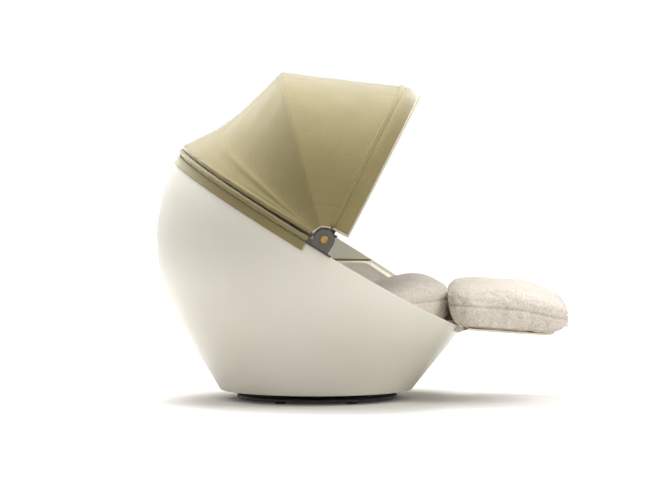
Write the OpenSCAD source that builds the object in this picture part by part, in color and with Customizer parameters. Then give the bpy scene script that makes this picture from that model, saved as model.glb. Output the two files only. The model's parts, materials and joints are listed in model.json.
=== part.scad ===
// Hooded beach chair: a ball-shaped shell on a swivel plinth, with a folding cloth hood,
// loose cushions and a tilting footrest. Millimetres, +Z up, +X to the front.
// The origin is on the floor, at the middle of the plinth.

/* [Shell] */
// Outer radius of the ball
ball_r = 750; // [700:5:800]
// How far the full ball would reach below the floor
ball_sink = 25; // [10:5:40]
// How far the ball's centre lies ahead of the swivel axis
ball_x = 20; // [0:5:40]
// Thickness of the moulded wall
shell_wall = 9; // [6:0.5:12]
// Tilt of the rim, high at the rear
rim_tilt = 31; // [28:1:34]
// Half angle of the lower cone that the ball runs into
cone_half_angle = 35.5; // [34:0.5:38]
// Rearward lean of the lower cone
cone_lean = 4; // [0:0.5:6]

/* [Plinth and swivel] */
// Radius of the plinth disc
plinth_r = 365; // [340:5:390]
// Thickness of the plinth disc
plinth_t = 16; // [12:1:20]
// Height of the rubber feet below the plinth
foot_h = 8; // [6:1:12]
// Radius of each rubber foot
foot_r = 25; // [18:1:32]
// Radius of the circle of feet
foot_circle_r = 320; // [280:5:330]
// Number of feet
foot_count = 6; // [4:1:8]
// Radius of the ring of bearing balls
race_pitch_r = 130; // [110:5:160]
// Width of each bearing race
race_w = 40; // [36:1:50]
// Height of each bearing race
race_h = 9; // [8:0.5:12]
// Gap between the two races
race_gap = 3; // [2:0.5:4]
// Radius of a bearing ball
bearing_ball_r = 4.5; // [4:0.1:5]
// Number of bearing balls
bearing_ball_count = 24; // [16:1:30]
// Radius of the swivel pin
swivel_pin_r = 12; // [10:0.5:16]
// Radius of the collar that holds the shell down
collar_r = 25; // [22:1:32]
// Height of that collar
collar_h = 8; // [6:0.5:12]
// Radius of the bolts through the upper race
race_bolt_r = 4; // [3:0.5:4.5]

/* [Seat] */
// Height of the seat board's top above the floor
seat_z = 365; // [358:1:372]
// Thickness of the seat board
seat_board_t = 12; // [9:1:18]
// Height of the ledge ring below the seat board
ledge_h = 20; // [16:1:28]
// Width of the ledge ring
ledge_w = 36; // [30:1:45]
// Radius of the posts below the seat board
post_r = 16; // [12:1:22]
// Radius of the circle of posts
post_circle_r = 250; // [220:5:280]
// Thickness of the posts' end flanges
flange_t = 4; // [3:0.5:6]
// Top edge of the padded liner above the floor
liner_z = 586; // [560:2:600]
// Thickness of the padded liner
liner_t = 45; // [35:1:55]
// Radius of the piping on the liner's top edge
piping_r = 5; // [4:0.5:7]

/* [Cushions] */
// Height of the seat cushions' sides
seat_side_h = 100; // [85:1:110]
// Crown of the seat cushions above their sides
seat_crown_h = 98; // [70:1:105]
// Gap between the cushions that lie side by side
cushion_gap = 6; // [4:1:12]
// Distance from the ball's skin to the back cushions' front faces, at the seat board
back_inset = 378; // [370:2:400]
// Width of a back cushion
back_w = 500; // [440:5:510]
// Height of a back cushion along its lean
back_h = 520; // [440:5:540]
// Thickness of a back cushion
back_t = 140; // [110:5:145]
// Lean of the back cushions
back_lean = 14; // [12:1:16]
// Turn of the back cushions toward the middle
back_yaw = 30; // [27:1:32]

/* [Hood] */
// Height of the hood's pivot above the rim plane
pivot_rise = 55; // [52:1:60]
// How much smaller than the ball the innermost bow's inside is
hood_inset = 17; // [14:1:19]
// Thickness of the flat bows
bow_t = 4; // [3:0.5:4.5]
// Width of the flat bows
bow_w = 20; // [16:1:22]
// Angle of the front bow above the horizon ahead
front_bow_angle = 62.4; // [58:0.1:66]
// Angle of the middle bow
middle_bow_angle = 106.2; // [102:0.1:110]
// Drop of the upper rear bow below the plane parallel to the rim
upper_bow_drop = 0.8; // [0:0.1:1]
// Height of the lower rear bow above the rim plane
lower_bow_rise = 18; // [17.5:0.5:19]
// Thickness of the hood cloth
cloth_t = 3; // [2:0.5:4]
// Radius of the rolls over the two rear bows
roll_r = 12.8; // [12.4:0.1:13]
// Width of the hem band ahead of the front bow
hem_w = 74; // [60:1:85]
// How much smaller the hem's front edge is than the bow
hem_draw_in = 9; // [5:1:12]
// Radius of the binding on the hem's front edge
binding_r = 5; // [4:0.5:6]
// Depth of the skirt outside the rim
skirt_h = 40; // [30:1:50]
// Radius of the cut-out in the cloth round each pivot
cutout_r = 66; // [65:1:72]
// Depth of the tucks between the stacked rear bows
tuck_depth = 105; // [90:1:110]
// Inward sag of the taut cloth between the front and the middle bow
front_sag = 3; // [2:0.5:10]
// Inward sag of the loose cloth between the middle and the rear bow
rear_sag = 34; // [20:1:38]
// Height of the draping folds in the rear cloth
fold_h = 9; // [4:1:12]

/* [Side brackets] */
// Length of the bracket's foot along the rim
bracket_l = 128; // [110:2:140]
// Thickness of the bracket's foot
bracket_foot_t = 6; // [4:0.5:6]
// Thickness of the bracket's plate
bracket_t = 5; // [4:0.5:5.5]
// Radius of the bracket plate's round top
bracket_r = 46; // [42:1:48]
// Depth of the bracket's leg inside the shell
bracket_leg_h = 48; // [40:1:60]
// Radius of the pivot bolt
pivot_bolt_r = 8; // [6:0.5:9]
// Radius of the lugs at the bows' ends
lug_r = 18; // [16:0.5:20]
// Radius of the grey cover plate's round top
disc_r = 46; // [42:1:47]
// Thickness of the cover plate
disc_t = 3.5; // [2.5:0.5:5]
// Radius of the bolt's cap
cap_r = 18; // [15:0.5:20]
// Height of the bolt's cap
cap_h = 9; // [6:0.5:12]

/* [Footrest] */
// Distance from the ball's skin back to the hinge axis
hinge_inset = 92; // [86:1:98]
// How far the hinge axis lies below the rim's foremost point
hinge_drop = 2.7; // [1:0.1:6]
// Droop of the footrest at rest
footrest_droop = 4; // [2:0.5:6]
// Length of the footrest from the hinge axis to the cushion's nose
footrest_l = 466; // [430:2:480]
// How far the board ends short of the cushion's nose
board_setback = 66; // [50:2:76]
// Width of the footrest board
footrest_w = 790; // [700:5:820]
// Thickness of the footrest board
footrest_t = 9; // [8:0.5:12]
// Sideways distance of each hinge from the middle
hinge_y = 150; // [120:5:170]
// Radius of the hinge pins
hinge_pin_r = 5; // [4:0.5:5.5]
// Radius of the hinge knuckles
knuckle_r = 10; // [8.5:0.5:10.5]
// Width of the hinge straps
strap_w = 40; // [30:1:50]
// Length of the hinge straps
strap_l = 300; // [240:5:360]
// Thickness of the hinge straps
strap_t = 6; // [5:0.5:7]
// Height of the foot cushion's sides
foot_side_h = 98; // [80:1:105]
// Crown of the foot cushion above its sides
foot_crown_h = 104; // [70:1:108]
// Rise of the foot cushion's underside toward its nose
nose_lift = 42; // [34:1:46]
// Radius of the pull ring
ring_r = 8; // [6:0.5:10]
// Radius of the pull ring's wire
ring_wire_r = 1.8; // [1.5:0.1:2]

/* [Hidden] */

$fn = 96;

// Running and seating clearances
pin_clear = 0.05;
groove_clear = 0.1;
seat_clear = 0.3;
wall_clear = 0.8;
layer_clear = 1;
overrun = 1;

// Step of the arcs that stand for round profiles
arc_step = 3;

// Levels of the swivel stack, from the floor up
plinth_z = foot_h;
lower_race_z = plinth_z + plinth_t;
upper_race_z = lower_race_z + race_h + race_gap;
floor_z = upper_race_z + race_h;
floor_top_z = floor_z + shell_wall;
bearing_z = lower_race_z + race_h + race_gap / 2;
race_bolt_count = 6;
bolt_head_share = 1.75;

// Directions of the rim plane: along it to the front, and out of it
rim_along = [cos(rim_tilt), 0, -sin(rim_tilt)];
rim_out = [sin(rim_tilt), 0, cos(rim_tilt)];
ball_z = ball_r - ball_sink;
ball_c = [ball_x, 0, ball_z];
pivot_c = ball_c + pivot_rise * rim_out;
rear_angle = 180 - rim_tilt;

// Radial layers of the bows, so that they turn past each other
hood_r = ball_r - hood_inset;
layer_step = bow_t + layer_clear;
front_layer_r = hood_r;
middle_layer_r = hood_r + layer_step;
upper_layer_r = middle_layer_r + layer_step;
lower_layer_r = upper_layer_r + layer_step;
stack_out_r = lower_layer_r + bow_t;
pocket_clear = 0.6;

// Side bracket, measured along Y
bracket_clear = 2.5;
bracket_out_y = hood_r - bracket_clear;
bracket_in_y = bracket_out_y - bracket_t;
disc_y = stack_out_r + seat_clear;
cap_y = disc_y + disc_t;
nut_r = 14;
nut_h = 9;
screw_r = 3;
screw_head_r = 6;
screw_head_h = 2.5;

// Seat levels
seat_under_z = seat_z - seat_board_t;
ledge_z = seat_under_z - ledge_h;
wall_in_r = ball_r - shell_wall;
back_front_r = ball_r - back_inset;
rim_gap = 10;

// Footrest places in its own frame: along the board and square to it
hinge_c = [ball_x + ball_r - hinge_inset, 0, ball_z - ball_r * sin(rim_tilt) - hinge_drop];
board_w0 = strap_t;
board_w1 = board_w0 + footrest_t;

function unit(v) = v / norm(v);
function plan_r(r, z) = sqrt(r * r - pow(z - ball_z, 2));

// Profile of the ball and its lower cone, grown or shrunk by "grow", for turning about its own axis
function ball_profile(grow) =
    let (r = ball_r + grow, a0 = -cone_half_angle, tip = r / sin(cone_half_angle))
    concat(
        [[0, r]],
        [for (a = [90 - arc_step / 2 : -arc_step : a0 + arc_step / 2]) [r * cos(a), r * sin(a)]],
        [[r * cos(a0), r * sin(a0)], [0, -tip]]
    );

module ball_solid(grow) {
    translate(ball_c) rotate([0, cone_lean, 0]) rotate_extrude($fn = 180) polygon(ball_profile(grow));
}

// Everything above a plane parallel to the rim, "rise" above it
module above_rim(rise) {
    size = 3 * ball_r;
    translate(ball_c + rise * rim_out) rotate([0, rim_tilt, 0]) translate([-size / 2, -size / 2, 0]) cube(size);
}

// Everything below the level z
module below_level(z) {
    size = 3 * ball_r;
    translate([-size / 2, -size / 2, z - size]) cube(size);
}

module ring(r_in, r_out, h) {
    difference() {
        cylinder(r = r_out, h = h);
        translate([0, 0, -overrun]) cylinder(r = r_in, h = h + 2 * overrun);
    }
}

module around(count, r, start = 0) {
    for (i = [0 : count - 1]) rotate([0, 0, start + 360 * i / count]) translate([r, 0, 0]) children();
}

// Plinth and swivel

module rubber_feet() {
    color("#1c1c1c") {
        around(foot_count, foot_circle_r) cylinder(r = foot_r, h = foot_h);
        cylinder(r = foot_r, h = foot_h);
    }
}

module plinth() {
    edge = plinth_t / 4;
    color("#262626") translate([0, 0, plinth_z]) rotate_extrude($fn = 180) polygon([
        [swivel_pin_r, 0], [plinth_r - edge, 0], [plinth_r, edge],
        [plinth_r, plinth_t - edge], [plinth_r - edge, plinth_t], [swivel_pin_r, plinth_t]
    ]);
}

module race(z) {
    color("#8d9094") difference() {
        translate([0, 0, z]) ring(race_pitch_r - race_w / 2, race_pitch_r + race_w / 2, race_h);
        translate([0, 0, bearing_z]) rotate_extrude() translate([race_pitch_r, 0]) circle(bearing_ball_r + groove_clear);
        children();
    }
}

module lower_race() {
    race(lower_race_z);
}

module bearing_balls() {
    color("#c9ccd0") around(bearing_ball_count, race_pitch_r) translate([0, 0, bearing_z]) sphere(bearing_ball_r, $fn = 24);
}

module swivel_pin() {
    top = floor_top_z + seat_clear + collar_h;
    color("#7b7e82") translate([0, 0, plinth_z]) cylinder(r = swivel_pin_r, h = top - plinth_z + collar_h / 2);
}

module pin_collar() {
    color("#7b7e82") translate([0, 0, floor_top_z]) ring(swivel_pin_r + pin_clear, collar_r, collar_h);
}

module race_bolt_shank(extra) {
    translate([0, 0, upper_race_z - overrun * sign(extra)])
        cylinder(r = race_bolt_r + extra, h = race_h + shell_wall + 2 * overrun * sign(extra));
}

bolt_circle_r = race_pitch_r + race_w / 2 - race_bolt_r * bolt_head_share;

module upper_race() {
    race(upper_race_z) around(race_bolt_count, bolt_circle_r) race_bolt_shank(pin_clear);
}

module race_bolts() {
    color("#5d6064") around(race_bolt_count, bolt_circle_r) {
        race_bolt_shank(0);
        translate([0, 0, floor_top_z]) cylinder(r = race_bolt_r * bolt_head_share, h = race_bolt_r);
    }
}

// Shell and seat structure

module shell() {
    color("#e9e5d6") difference() {
        ball_solid(0);
        difference() {
            ball_solid(-shell_wall);
            below_level(floor_top_z);
        }
        above_rim(0);
        below_level(floor_z);
        translate([0, 0, floor_z - overrun]) cylinder(r = swivel_pin_r + pin_clear, h = shell_wall + 2 * overrun);
        around(race_bolt_count, bolt_circle_r) race_bolt_shank(pin_clear);
        each_bracket_screw() cylinder(r = screw_r + pin_clear, h = 4 * shell_wall, center = true);
        each_hinge_screw() cylinder(r = screw_r + pin_clear, h = 6 * shell_wall, center = true);
    }
}

// Round slab inside the shell's wall between two levels
module inside_slab(z0, z1) {
    difference() {
        intersection() {
            ball_solid(-shell_wall - wall_clear);
            translate([0, 0, z0]) cylinder(r = ball_r, h = z1 - z0);
        }
        above_rim(-rim_gap);
    }
}

module ledge_ring() {
    hole_r = plan_r(wall_in_r, ledge_z) - ledge_w;
    color("#b58f5f") difference() {
        inside_slab(ledge_z, seat_under_z);
        translate([ball_x, 0, ledge_z - overrun]) cylinder(r = hole_r, h = ledge_h + 2 * overrun);
    }
}

module seat_posts() {
    h = seat_under_z - floor_top_z;
    color("#4a4d50") around(4, post_circle_r, 45) translate([0, 0, floor_top_z]) {
        cylinder(r = post_r, h = h);
        cylinder(r = 2 * post_r, h = flange_t);
        translate([0, 0, h - flange_t]) cylinder(r = 2 * post_r, h = flange_t);
    }
}

seat_front_x = ball_x + plan_r(wall_in_r - liner_t, seat_z);

module seat_board() {
    color("#c29c6a") difference() {
        inside_slab(seat_under_z, seat_z);
        translate([seat_front_x, -ball_r, 0]) cube([ball_r, 2 * ball_r, ball_r]);
        each_board_screw() {
            cylinder(r = screw_r + pin_clear, h = 3 * seat_board_t, center = true);
            translate([0, 0, -screw_head_h]) cylinder(r = screw_head_r + pin_clear, h = 2 * screw_head_h);
        }
    }
}

board_screw_r = post_circle_r + post_r * 1.5;

module each_board_screw() {
    around(4, board_screw_r, 45) translate([0, 0, seat_z]) children();
}

module board_screws() {
    color("#8d9094") each_board_screw() {
        translate([0, 0, -seat_board_t]) cylinder(r = screw_r, h = seat_board_t);
        translate([0, 0, -screw_head_h]) cylinder(r = screw_head_r, h = screw_head_h);
    }
}

// Padded liner against the wall, from the board up to its piping
module liner() {
    out_r = wall_in_r - wall_clear;
    in_r = out_r - liner_t;
    dz0 = seat_z + seat_clear - ball_z;
    dz1 = liner_z - ball_z;
    a0 = asin(dz0 / out_r);
    a1 = asin(dz1 / out_r);
    b0 = asin(dz0 / in_r);
    b1 = asin(dz1 / in_r);
    steps = 6;
    shoulder = liner_t / 3;
    turn = shoulder / in_r * 180 / PI;
    color("#cfc4ae") difference() {
        translate([ball_x, 0, ball_z]) rotate_extrude($fn = 180) polygon(concat(
            [for (i = [0 : steps]) let (a = a0 + (a1 - a0) * i / steps) [out_r * cos(a), out_r * sin(a)]],
            [[in_r * cos(b1) + shoulder, dz1]],
            [for (i = [0 : steps]) let (b = b1 - turn + (b0 - b1 + turn) * i / steps)
                [in_r * cos(b), in_r * sin(b)]]
        ));
        above_rim(-rim_gap);
    }
}

// The piping lies on the liner's top face and stops at the rim
module liner_piping() {
    mid_r = plan_r(wall_in_r, liner_z) - liner_t / 2;
    rim_x = (ball_z - liner_z) / tan(rim_tilt) - rim_gap - 2 * piping_r;
    half = acos(rim_x / mid_r);
    color("#77713f") translate([ball_x, 0, liner_z + piping_r]) rotate([0, 0, half])
        rotate_extrude(angle = 360 - 2 * half, $fn = 180) translate([mid_r, 0]) circle(piping_r, $fn = 24);
}

// Soft shapes

// Solid skin over a stack of closed rings of equal counts, closed at both ends by a fan
module ring_stack(rings) {
    n = len(rings[0]);
    m = len(rings);
    mean_low = [for (k = [0 : 2]) sum([for (p = rings[0]) p[k]]) / n];
    mean_top = [for (k = [0 : 2]) sum([for (p = rings[m - 1]) p[k]]) / n];
    points = concat([for (r = rings) each r], [mean_low, mean_top]);
    sides = [for (j = [0 : m - 2], i = [0 : n - 1]) let (k = (i + 1) % n, a = j * n, b = a + n)
        each [[a + i, b + i, b + k], [a + i, b + k, a + k]]];
    low = [for (i = [0 : n - 1]) [m * n, i, (i + 1) % n]];
    top = [for (i = [0 : n - 1]) [m * n + 1, (m - 1) * n + (i + 1) % n, (m - 1) * n + i]];
    polyhedron(points, concat(sides, low, top));
}

function sum(v) = [for (x = v) 1] * v;

// Rounded quadrilateral outline with "steps" points on each corner, given corners and a corner radius
function round_corner(p, before, after, r, steps) =
    let (a = p + unit(before - p) * r, b = p + unit(after - p) * r)
    [for (i = [0 : steps]) let (t = i / steps) (1 - t) * (1 - t) * a + 2 * t * (1 - t) * p + t * t * b];

function round_outline(corners, r, steps) =
    let (n = len(corners))
    [for (i = [0 : n - 1]) each round_corner(corners[i], corners[(i + n - 1) % n], corners[(i + 1) % n], r, steps)];

// Points put between the corners of an outline so that no side is longer than "gap"
function fill_sides(line, gap) =
    let (n = len(line))
    [for (i = [0 : n - 1]) let (p = line[i], q = line[(i + 1) % n], k = ceil(norm(q - p) / gap))
        for (j = [0 : k - 1]) p + (q - p) * j / k];

// Rings of a cushion: shares of the outline kept, and shares of side and crown heights
side_rings = [[0.965, 0.00], [0.990, 0.06], [1.000, 0.30], [1.000, 0.70], [0.992, 0.94], [0.982, 1.00]];
crown_share = [0.945, 0.88, 0.79, 0.66, 0.48, 0.26];
crown_power = 2.4;
outline_gap_share = 0.16;

function crown_height(s) = pow(1 - pow(s, crown_power), 1 / 1.7);

function shrink(line, c, s) = [for (p = line) c + (p - c) * s];

// Cushion rings over a plan outline: "fall" lowers the rear, "c" is where the crown gathers
function cushion_rings(line, c, side_h, crown_h) = concat(
    [for (r = side_rings) [for (p = shrink(line, c, r[0])) [p[0], p[1], r[1] * side_h]]],
    [for (s = crown_share) [for (p = shrink(line, c, s)) [p[0], p[1], side_h + crown_h * crown_height(s)]]]
);

// Plan of the left seat cushion: a round front, a straight crease and a slanted rear
seat_round_r = plan_r(wall_in_r - liner_t, seat_z) - 2 * seat_clear - cushion_gap / 2;
seat_corner_r = 46;
seat_fall_share = 0.3;
seat_peak_share = 0.62;

function seat_rear_x(y) = ball_x - (back_front_r - cushion_gap - y * sin(back_yaw)) / cos(back_yaw);

seat_rear_end = acos(-(back_front_r - cushion_gap) / seat_round_r) - back_yaw;

function seat_plan() =
    let (
        y0 = cushion_gap / 2,
        a0 = asin(y0 / seat_round_r),
        arc = [for (i = [0 : 12]) let (a = a0 + (seat_rear_end - 2 - a0) * i / 12)
            [ball_x + seat_round_r * cos(a), seat_round_r * sin(a)]],
        rear = [seat_rear_x(y0), y0]
    )
    concat(
        round_corner(arc[0], rear, arc[1], seat_corner_r / 2, 2),
        [for (i = [2 : 10]) arc[i]],
        round_corner(arc[12], arc[10], rear, seat_corner_r, 3),
        round_corner(rear, arc[12], arc[0], seat_corner_r, 3)
    );

module seat_cushion() {
    line = fill_sides(seat_plan(), ball_r * outline_gap_share);
    n = len(line);
    c = [ball_x + seat_round_r * 0.42, seat_round_r * 0.42];
    depth = 2 * seat_round_r;
    rings = cushion_rings(line, c, seat_side_h, seat_crown_h);
    front = ball_x + seat_round_r;
    color("#ece6d6") translate([0, 0, seat_z + seat_clear]) ring_stack([for (r = rings) [for (p = r)
        let (back = (front - p[0]) / depth, low = 1 - seat_fall_share * back)
        [p[0], p[1], p[2] * low]]]);
}

module seat_cushion_left() {
    seat_cushion();
}

module seat_cushion_right() {
    mirror([0, 1, 0]) seat_cushion();
}

// How far up its half thickness the leaned cushion's lower edge reaches
back_lift_share = 1;

// A back cushion stands on the board behind the seat cushion and leans on the liner
module back_cushion() {
    corners = [[0, -back_w / 2], [0, back_w / 2], [back_h, back_w / 2], [back_h, -back_w / 2]];
    corner_r = back_t / 2;
    line = fill_sides(round_outline(corners, corner_r, 3), ball_r * outline_gap_share);
    half = back_t / 2;
    c = [back_h / 2, 0];
    // each leaf crowns away from the seam that runs round the middle
    shares = [0.30, 0.60, 0.80, 0.92, 0.98];
    leaf = [for (s = shares) [s, half * pow(1 - pow(s, 3), 1 / 2.2)]];
    rings = concat(
        [for (k = leaf) [for (p = shrink(line, c, k[0])) [p[0], p[1], -k[1]]]],
        [[for (p = line) [p[0], p[1], 0]]],
        [for (i = [len(leaf) - 1 : -1 : 0]) [for (p = shrink(line, c, leaf[i][0])) [p[0], p[1], leaf[i][1]]]]
    );
    // shifted along its own width so that the two seams meet in the middle
    shift = (cushion_gap / 2 - (back_front_r + half) * sin(back_yaw)) / cos(back_yaw) + back_w / 2;
    lift = half * back_lift_share * sin(back_lean);
    color("#e9e2d1") translate([ball_x, 0, seat_z + seat_clear + lift]) rotate([0, 0, 180 - back_yaw])
        translate([back_front_r, -shift, 0]) rotate([0, back_lean - 90, 0]) translate([0, 0, -half]) ring_stack(rings);
}

module back_cushion_left() {
    back_cushion();
}

module back_cushion_right() {
    mirror([0, 1, 0]) back_cushion();
}

// Hood bows. In a bow's own frame X runs from the pivot to the crown and Z points to the rear.
module in_bow_plane(angle) {
    translate(pivot_c) rotate([0, -angle, 0]) children();
}

module half_round(cut, fine = 180) {
    rotate([0, 0, cut - 90]) rotate_extrude(angle = 180 - 2 * cut, $fn = fine) children();
}

module lug(r, offset_z) {
    for (side = [-1, 1]) on_side(side) translate([0, r, 0]) rotate([-90, 0, 0]) linear_extrude(bow_t) {
        circle(lug_r);
        if (offset_z > 0) translate([-bow_w / 2, -offset_z - bow_w / 2]) square([bow_w, offset_z + bow_w / 2]);
    }
}

module on_side(side) {
    if (side > 0) children();
    else mirror([0, 1, 0]) children();
}

module bow(angle, r, offset_z = 0) {
    in_bow_plane(angle) difference() {
        union() {
            translate([0, 0, offset_z]) half_round(0) translate([r, -bow_w / 2]) square([bow_t, bow_w]);
            lug(r, offset_z);
        }
        rotate([90, 0, 0]) cylinder(r = pivot_bolt_r + pin_clear, h = 3 * ball_r, center = true);
    }
}

function cutout_angle(r) = asin(cutout_r / r);

// Cloth sleeve round a bow, as a round roll or a flat sleeve
module sleeve(angle, r, offset_z = 0, round_r = 0, wide = 0, thick = 0) {
    mid_r = r + bow_t / 2;
    in_bow_plane(angle) translate([0, 0, offset_z]) half_round(cutout_angle(r)) translate([mid_r, 0]) difference() {
        if (round_r > 0) circle(round_r, $fn = 32);
        else square([thick, wide], center = true);
        square([bow_t + 2 * pocket_clear, bow_w + 2 * pocket_clear], center = true);
    }
}

lower_bow_offset = pivot_rise - lower_bow_rise;
upper_angle = rear_angle + upper_bow_drop;

module lower_rear_bow() {
    color("#3a3c3e") bow(rear_angle, lower_layer_r, lower_bow_offset);
}

module upper_rear_bow() {
    color("#3a3c3e") bow(upper_angle, upper_layer_r);
}

module middle_bow() {
    color("#3a3c3e") bow(middle_bow_angle, middle_layer_r);
}

module front_bow() {
    color("#3a3c3e") bow(front_bow_angle, front_layer_r);
}

module lower_roll() {
    color("#8c8159") sleeve(rear_angle, lower_layer_r, offset_z = lower_bow_offset, round_r = roll_r);
}

module upper_roll() {
    color("#978c62") sleeve(upper_angle, upper_layer_r, round_r = roll_r);
}

sleeve_w = bow_w + 2 * cloth_t;
sleeve_t = bow_t + 2 * cloth_t;

module middle_sleeve() {
    color("#b3a878") sleeve(middle_bow_angle, middle_layer_r, wide = sleeve_w, thick = sleeve_t);
}

// Point on an arch: centre, angle of its plane, radius and the place along it from +Y over to -Y
function arch_point(c, angle, r, f) = c + r * [sin(f) * cos(angle), cos(f), sin(f) * sin(angle)];

function arch(c, angle, r, count) =
    let (f0 = cutout_angle(r))
    [for (i = [0 : count]) arch_point(c, angle, r, f0 + (180 - 2 * f0) * i / count)];

// Cloth between two arches: rows run from edge a to edge b, and "shape" gives the outward shift
module cloth_between(edge_a, edge_b, rows, shape) {
    n = len(edge_a) - 1;
    outer = [for (j = [0 : rows], i = [0 : n])
        let (s = j / rows, p = edge_a[i] * (1 - s) + edge_b[i] * s, out = unit(p - pivot_c))
        p + out * shape(s, i / n)];
    inner = [for (p = outer) p - unit(p - pivot_c) * cloth_t];
    w = n + 1;
    m = w * (rows + 1);
    skin = [for (j = [0 : rows - 1], i = [0 : n - 1]) let (a = j * w + i, b = a + w)
        each [[a, a + 1, b + 1], [a, b + 1, b]]];
    lining = [for (t = skin) [t[0] + m, t[2] + m, t[1] + m]];
    edge = concat(
        [for (i = [0 : n - 1]) [i + 1, i]],
        [for (i = [0 : n - 1]) [rows * w + i, rows * w + i + 1]],
        [for (j = [0 : rows - 1]) [j * w, (j + 1) * w]],
        [for (j = [0 : rows - 1]) [(j + 1) * w + n, j * w + n]]
    );
    rim = [for (e = edge) each [[e[0], e[1], e[1] + m], [e[0], e[1] + m, e[0] + m]]];
    polyhedron(concat(outer, inner), concat(skin, lining, rim));
}

// Angle that a width takes up at a radius
function width_angle(w, r) = asin(w / r);

cloth_steps = 40;
sleeve_half = sleeve_w / 2 + seat_clear;
roll_half = roll_r + seat_clear;

module front_cloth() {
    mid_r = (front_layer_r + bow_t + middle_layer_r) / 2;
    edge_a = arch(pivot_c, front_bow_angle + width_angle(bow_w / 2 + seat_clear, mid_r) , front_layer_r + bow_t, cloth_steps);
    edge_b = arch(pivot_c, middle_bow_angle - width_angle(sleeve_half, mid_r), middle_layer_r + bow_t, cloth_steps);
    color("#c2b787") difference() {
        cloth_between(edge_a, edge_b, 8, function (s, f) -front_sag * 4 * s * (1 - s) * pow(sin(180 * f), 0.6));
        bow_keep_out(front_bow_angle, front_layer_r, bow_w);
        bow_keep_out(middle_bow_angle, middle_layer_r, sleeve_w);
    }
}

// Slab round a bow that the cloth stays out of
module bow_keep_out(angle, r, wide) {
    in_bow_plane(angle) translate([0, -ball_r, -wide / 2 - seat_clear]) cube([2 * ball_r, 2 * ball_r, wide + 2 * seat_clear]);
}

module rear_cloth() {
    edge_a = arch(pivot_c, middle_bow_angle, middle_layer_r + bow_t, cloth_steps);
    edge_b = arch(pivot_c, upper_angle, upper_layer_r + bow_t, cloth_steps);
    color("#a99d6c") difference() {
        cloth_between(edge_a, edge_b, 14, function (s, f)
            -rear_sag * 4 * s * (1 - s) * pow(sin(180 * f), 0.6)
            + fold_h * sin(180 * s) * sin(1080 * s) * (1 - 0.75 * sin(180 * f)));
        bow_keep_out(middle_bow_angle, middle_layer_r, sleeve_w);
        bow_keep_out(upper_angle, upper_layer_r, 2 * roll_r);
    }
}

// Tuck of folded cloth that hangs inward between two bows, as a thin V swept round the arch
module tuck(low_c, low_angle, high_c, high_angle, r) {
    steps = 32;
    a = arch(low_c, low_angle, r, steps);
    b = arch(high_c, high_angle, r, steps);
    rings = [for (i = [0 : steps]) let (
            up = b[i] - a[i],
            side = unit(up) * cloth_t,
            inward = unit(pivot_c - (a[i] + b[i]) / 2) * tuck_depth,
            tip = (a[i] + b[i]) / 2 + inward
        )
        [a[i], tip - side / 2, b[i], b[i] - side, tip - inward / 8, a[i] + side]];
    sweep_open(rings);
}

// Solid through open rings of points, closed at both ends by the rings themselves
module sweep_open(rings) {
    n = len(rings[0]);
    m = len(rings);
    sides = [for (j = [0 : m - 2], i = [0 : n - 1]) let (k = (i + 1) % n, a = j * n, b = a + n)
        each [[a + i, b + k, b + i], [a + i, a + k, b + k]]];
    half = [[0, 1, 4], [0, 4, 5], [1, 2, 3], [1, 3, 4]];
    last = (m - 1) * n;
    polyhedron(
        [for (r = rings) each r],
        concat(sides, [for (t = half) [t[0], t[2], t[1]]], [for (t = half) [last + t[0], last + t[1], last + t[2]]])
    );
}

lower_tuck_r = lower_layer_r + bow_t / 2 - roll_r - seat_clear;
upper_tuck_r = upper_layer_r + bow_t / 2 - roll_r - seat_clear;

module lower_tuck() {
    low = ball_c + seat_clear * rim_out;
    high = ball_c + lower_bow_rise * rim_out;
    color("#857a52") tuck(low, rear_angle, high, rear_angle, lower_tuck_r);
}

module upper_tuck() {
    low = ball_c + (lower_bow_rise + seat_clear) * rim_out;
    color("#857a52") tuck(low, rear_angle, pivot_c, upper_angle, upper_tuck_r);
}

// Band ahead of the front bow, drawn in toward its front edge
module front_hem() {
    out_r = front_layer_r + bow_t;
    z0 = -bow_w / 2 - seat_clear;
    color("#93885d") in_bow_plane(front_bow_angle) half_round(cutout_angle(out_r)) polygon([
        [out_r, z0], [out_r - cloth_t, z0],
        [out_r - cloth_t - hem_draw_in, z0 - hem_w], [out_r - hem_draw_in, z0 - hem_w]
    ]);
}

module front_binding() {
    out_r = front_layer_r + bow_t;
    z = -bow_w / 2 - 2 * seat_clear - hem_w - binding_r;
    color("#d8cfb4") in_bow_plane(front_bow_angle) half_round(cutout_angle(out_r))
        translate([out_r - hem_draw_in - cloth_t / 2, z]) circle(binding_r, $fn = 24);
}

// Skirt that covers the rim's outside at the rear
module rear_skirt() {
    in_r = ball_r + 2 * seat_clear;
    color("#8d8259") translate(ball_c) rotate([0, -rear_angle, 0]) half_round(cutout_angle(in_r))
        translate([in_r, 0]) square([cloth_t, skirt_h]);
}

// Side brackets

module in_rim_plane() {
    translate(ball_c) rotate([0, rim_tilt, 0]) children();
}

foot_out_y = ball_r + shell_wall;

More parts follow.
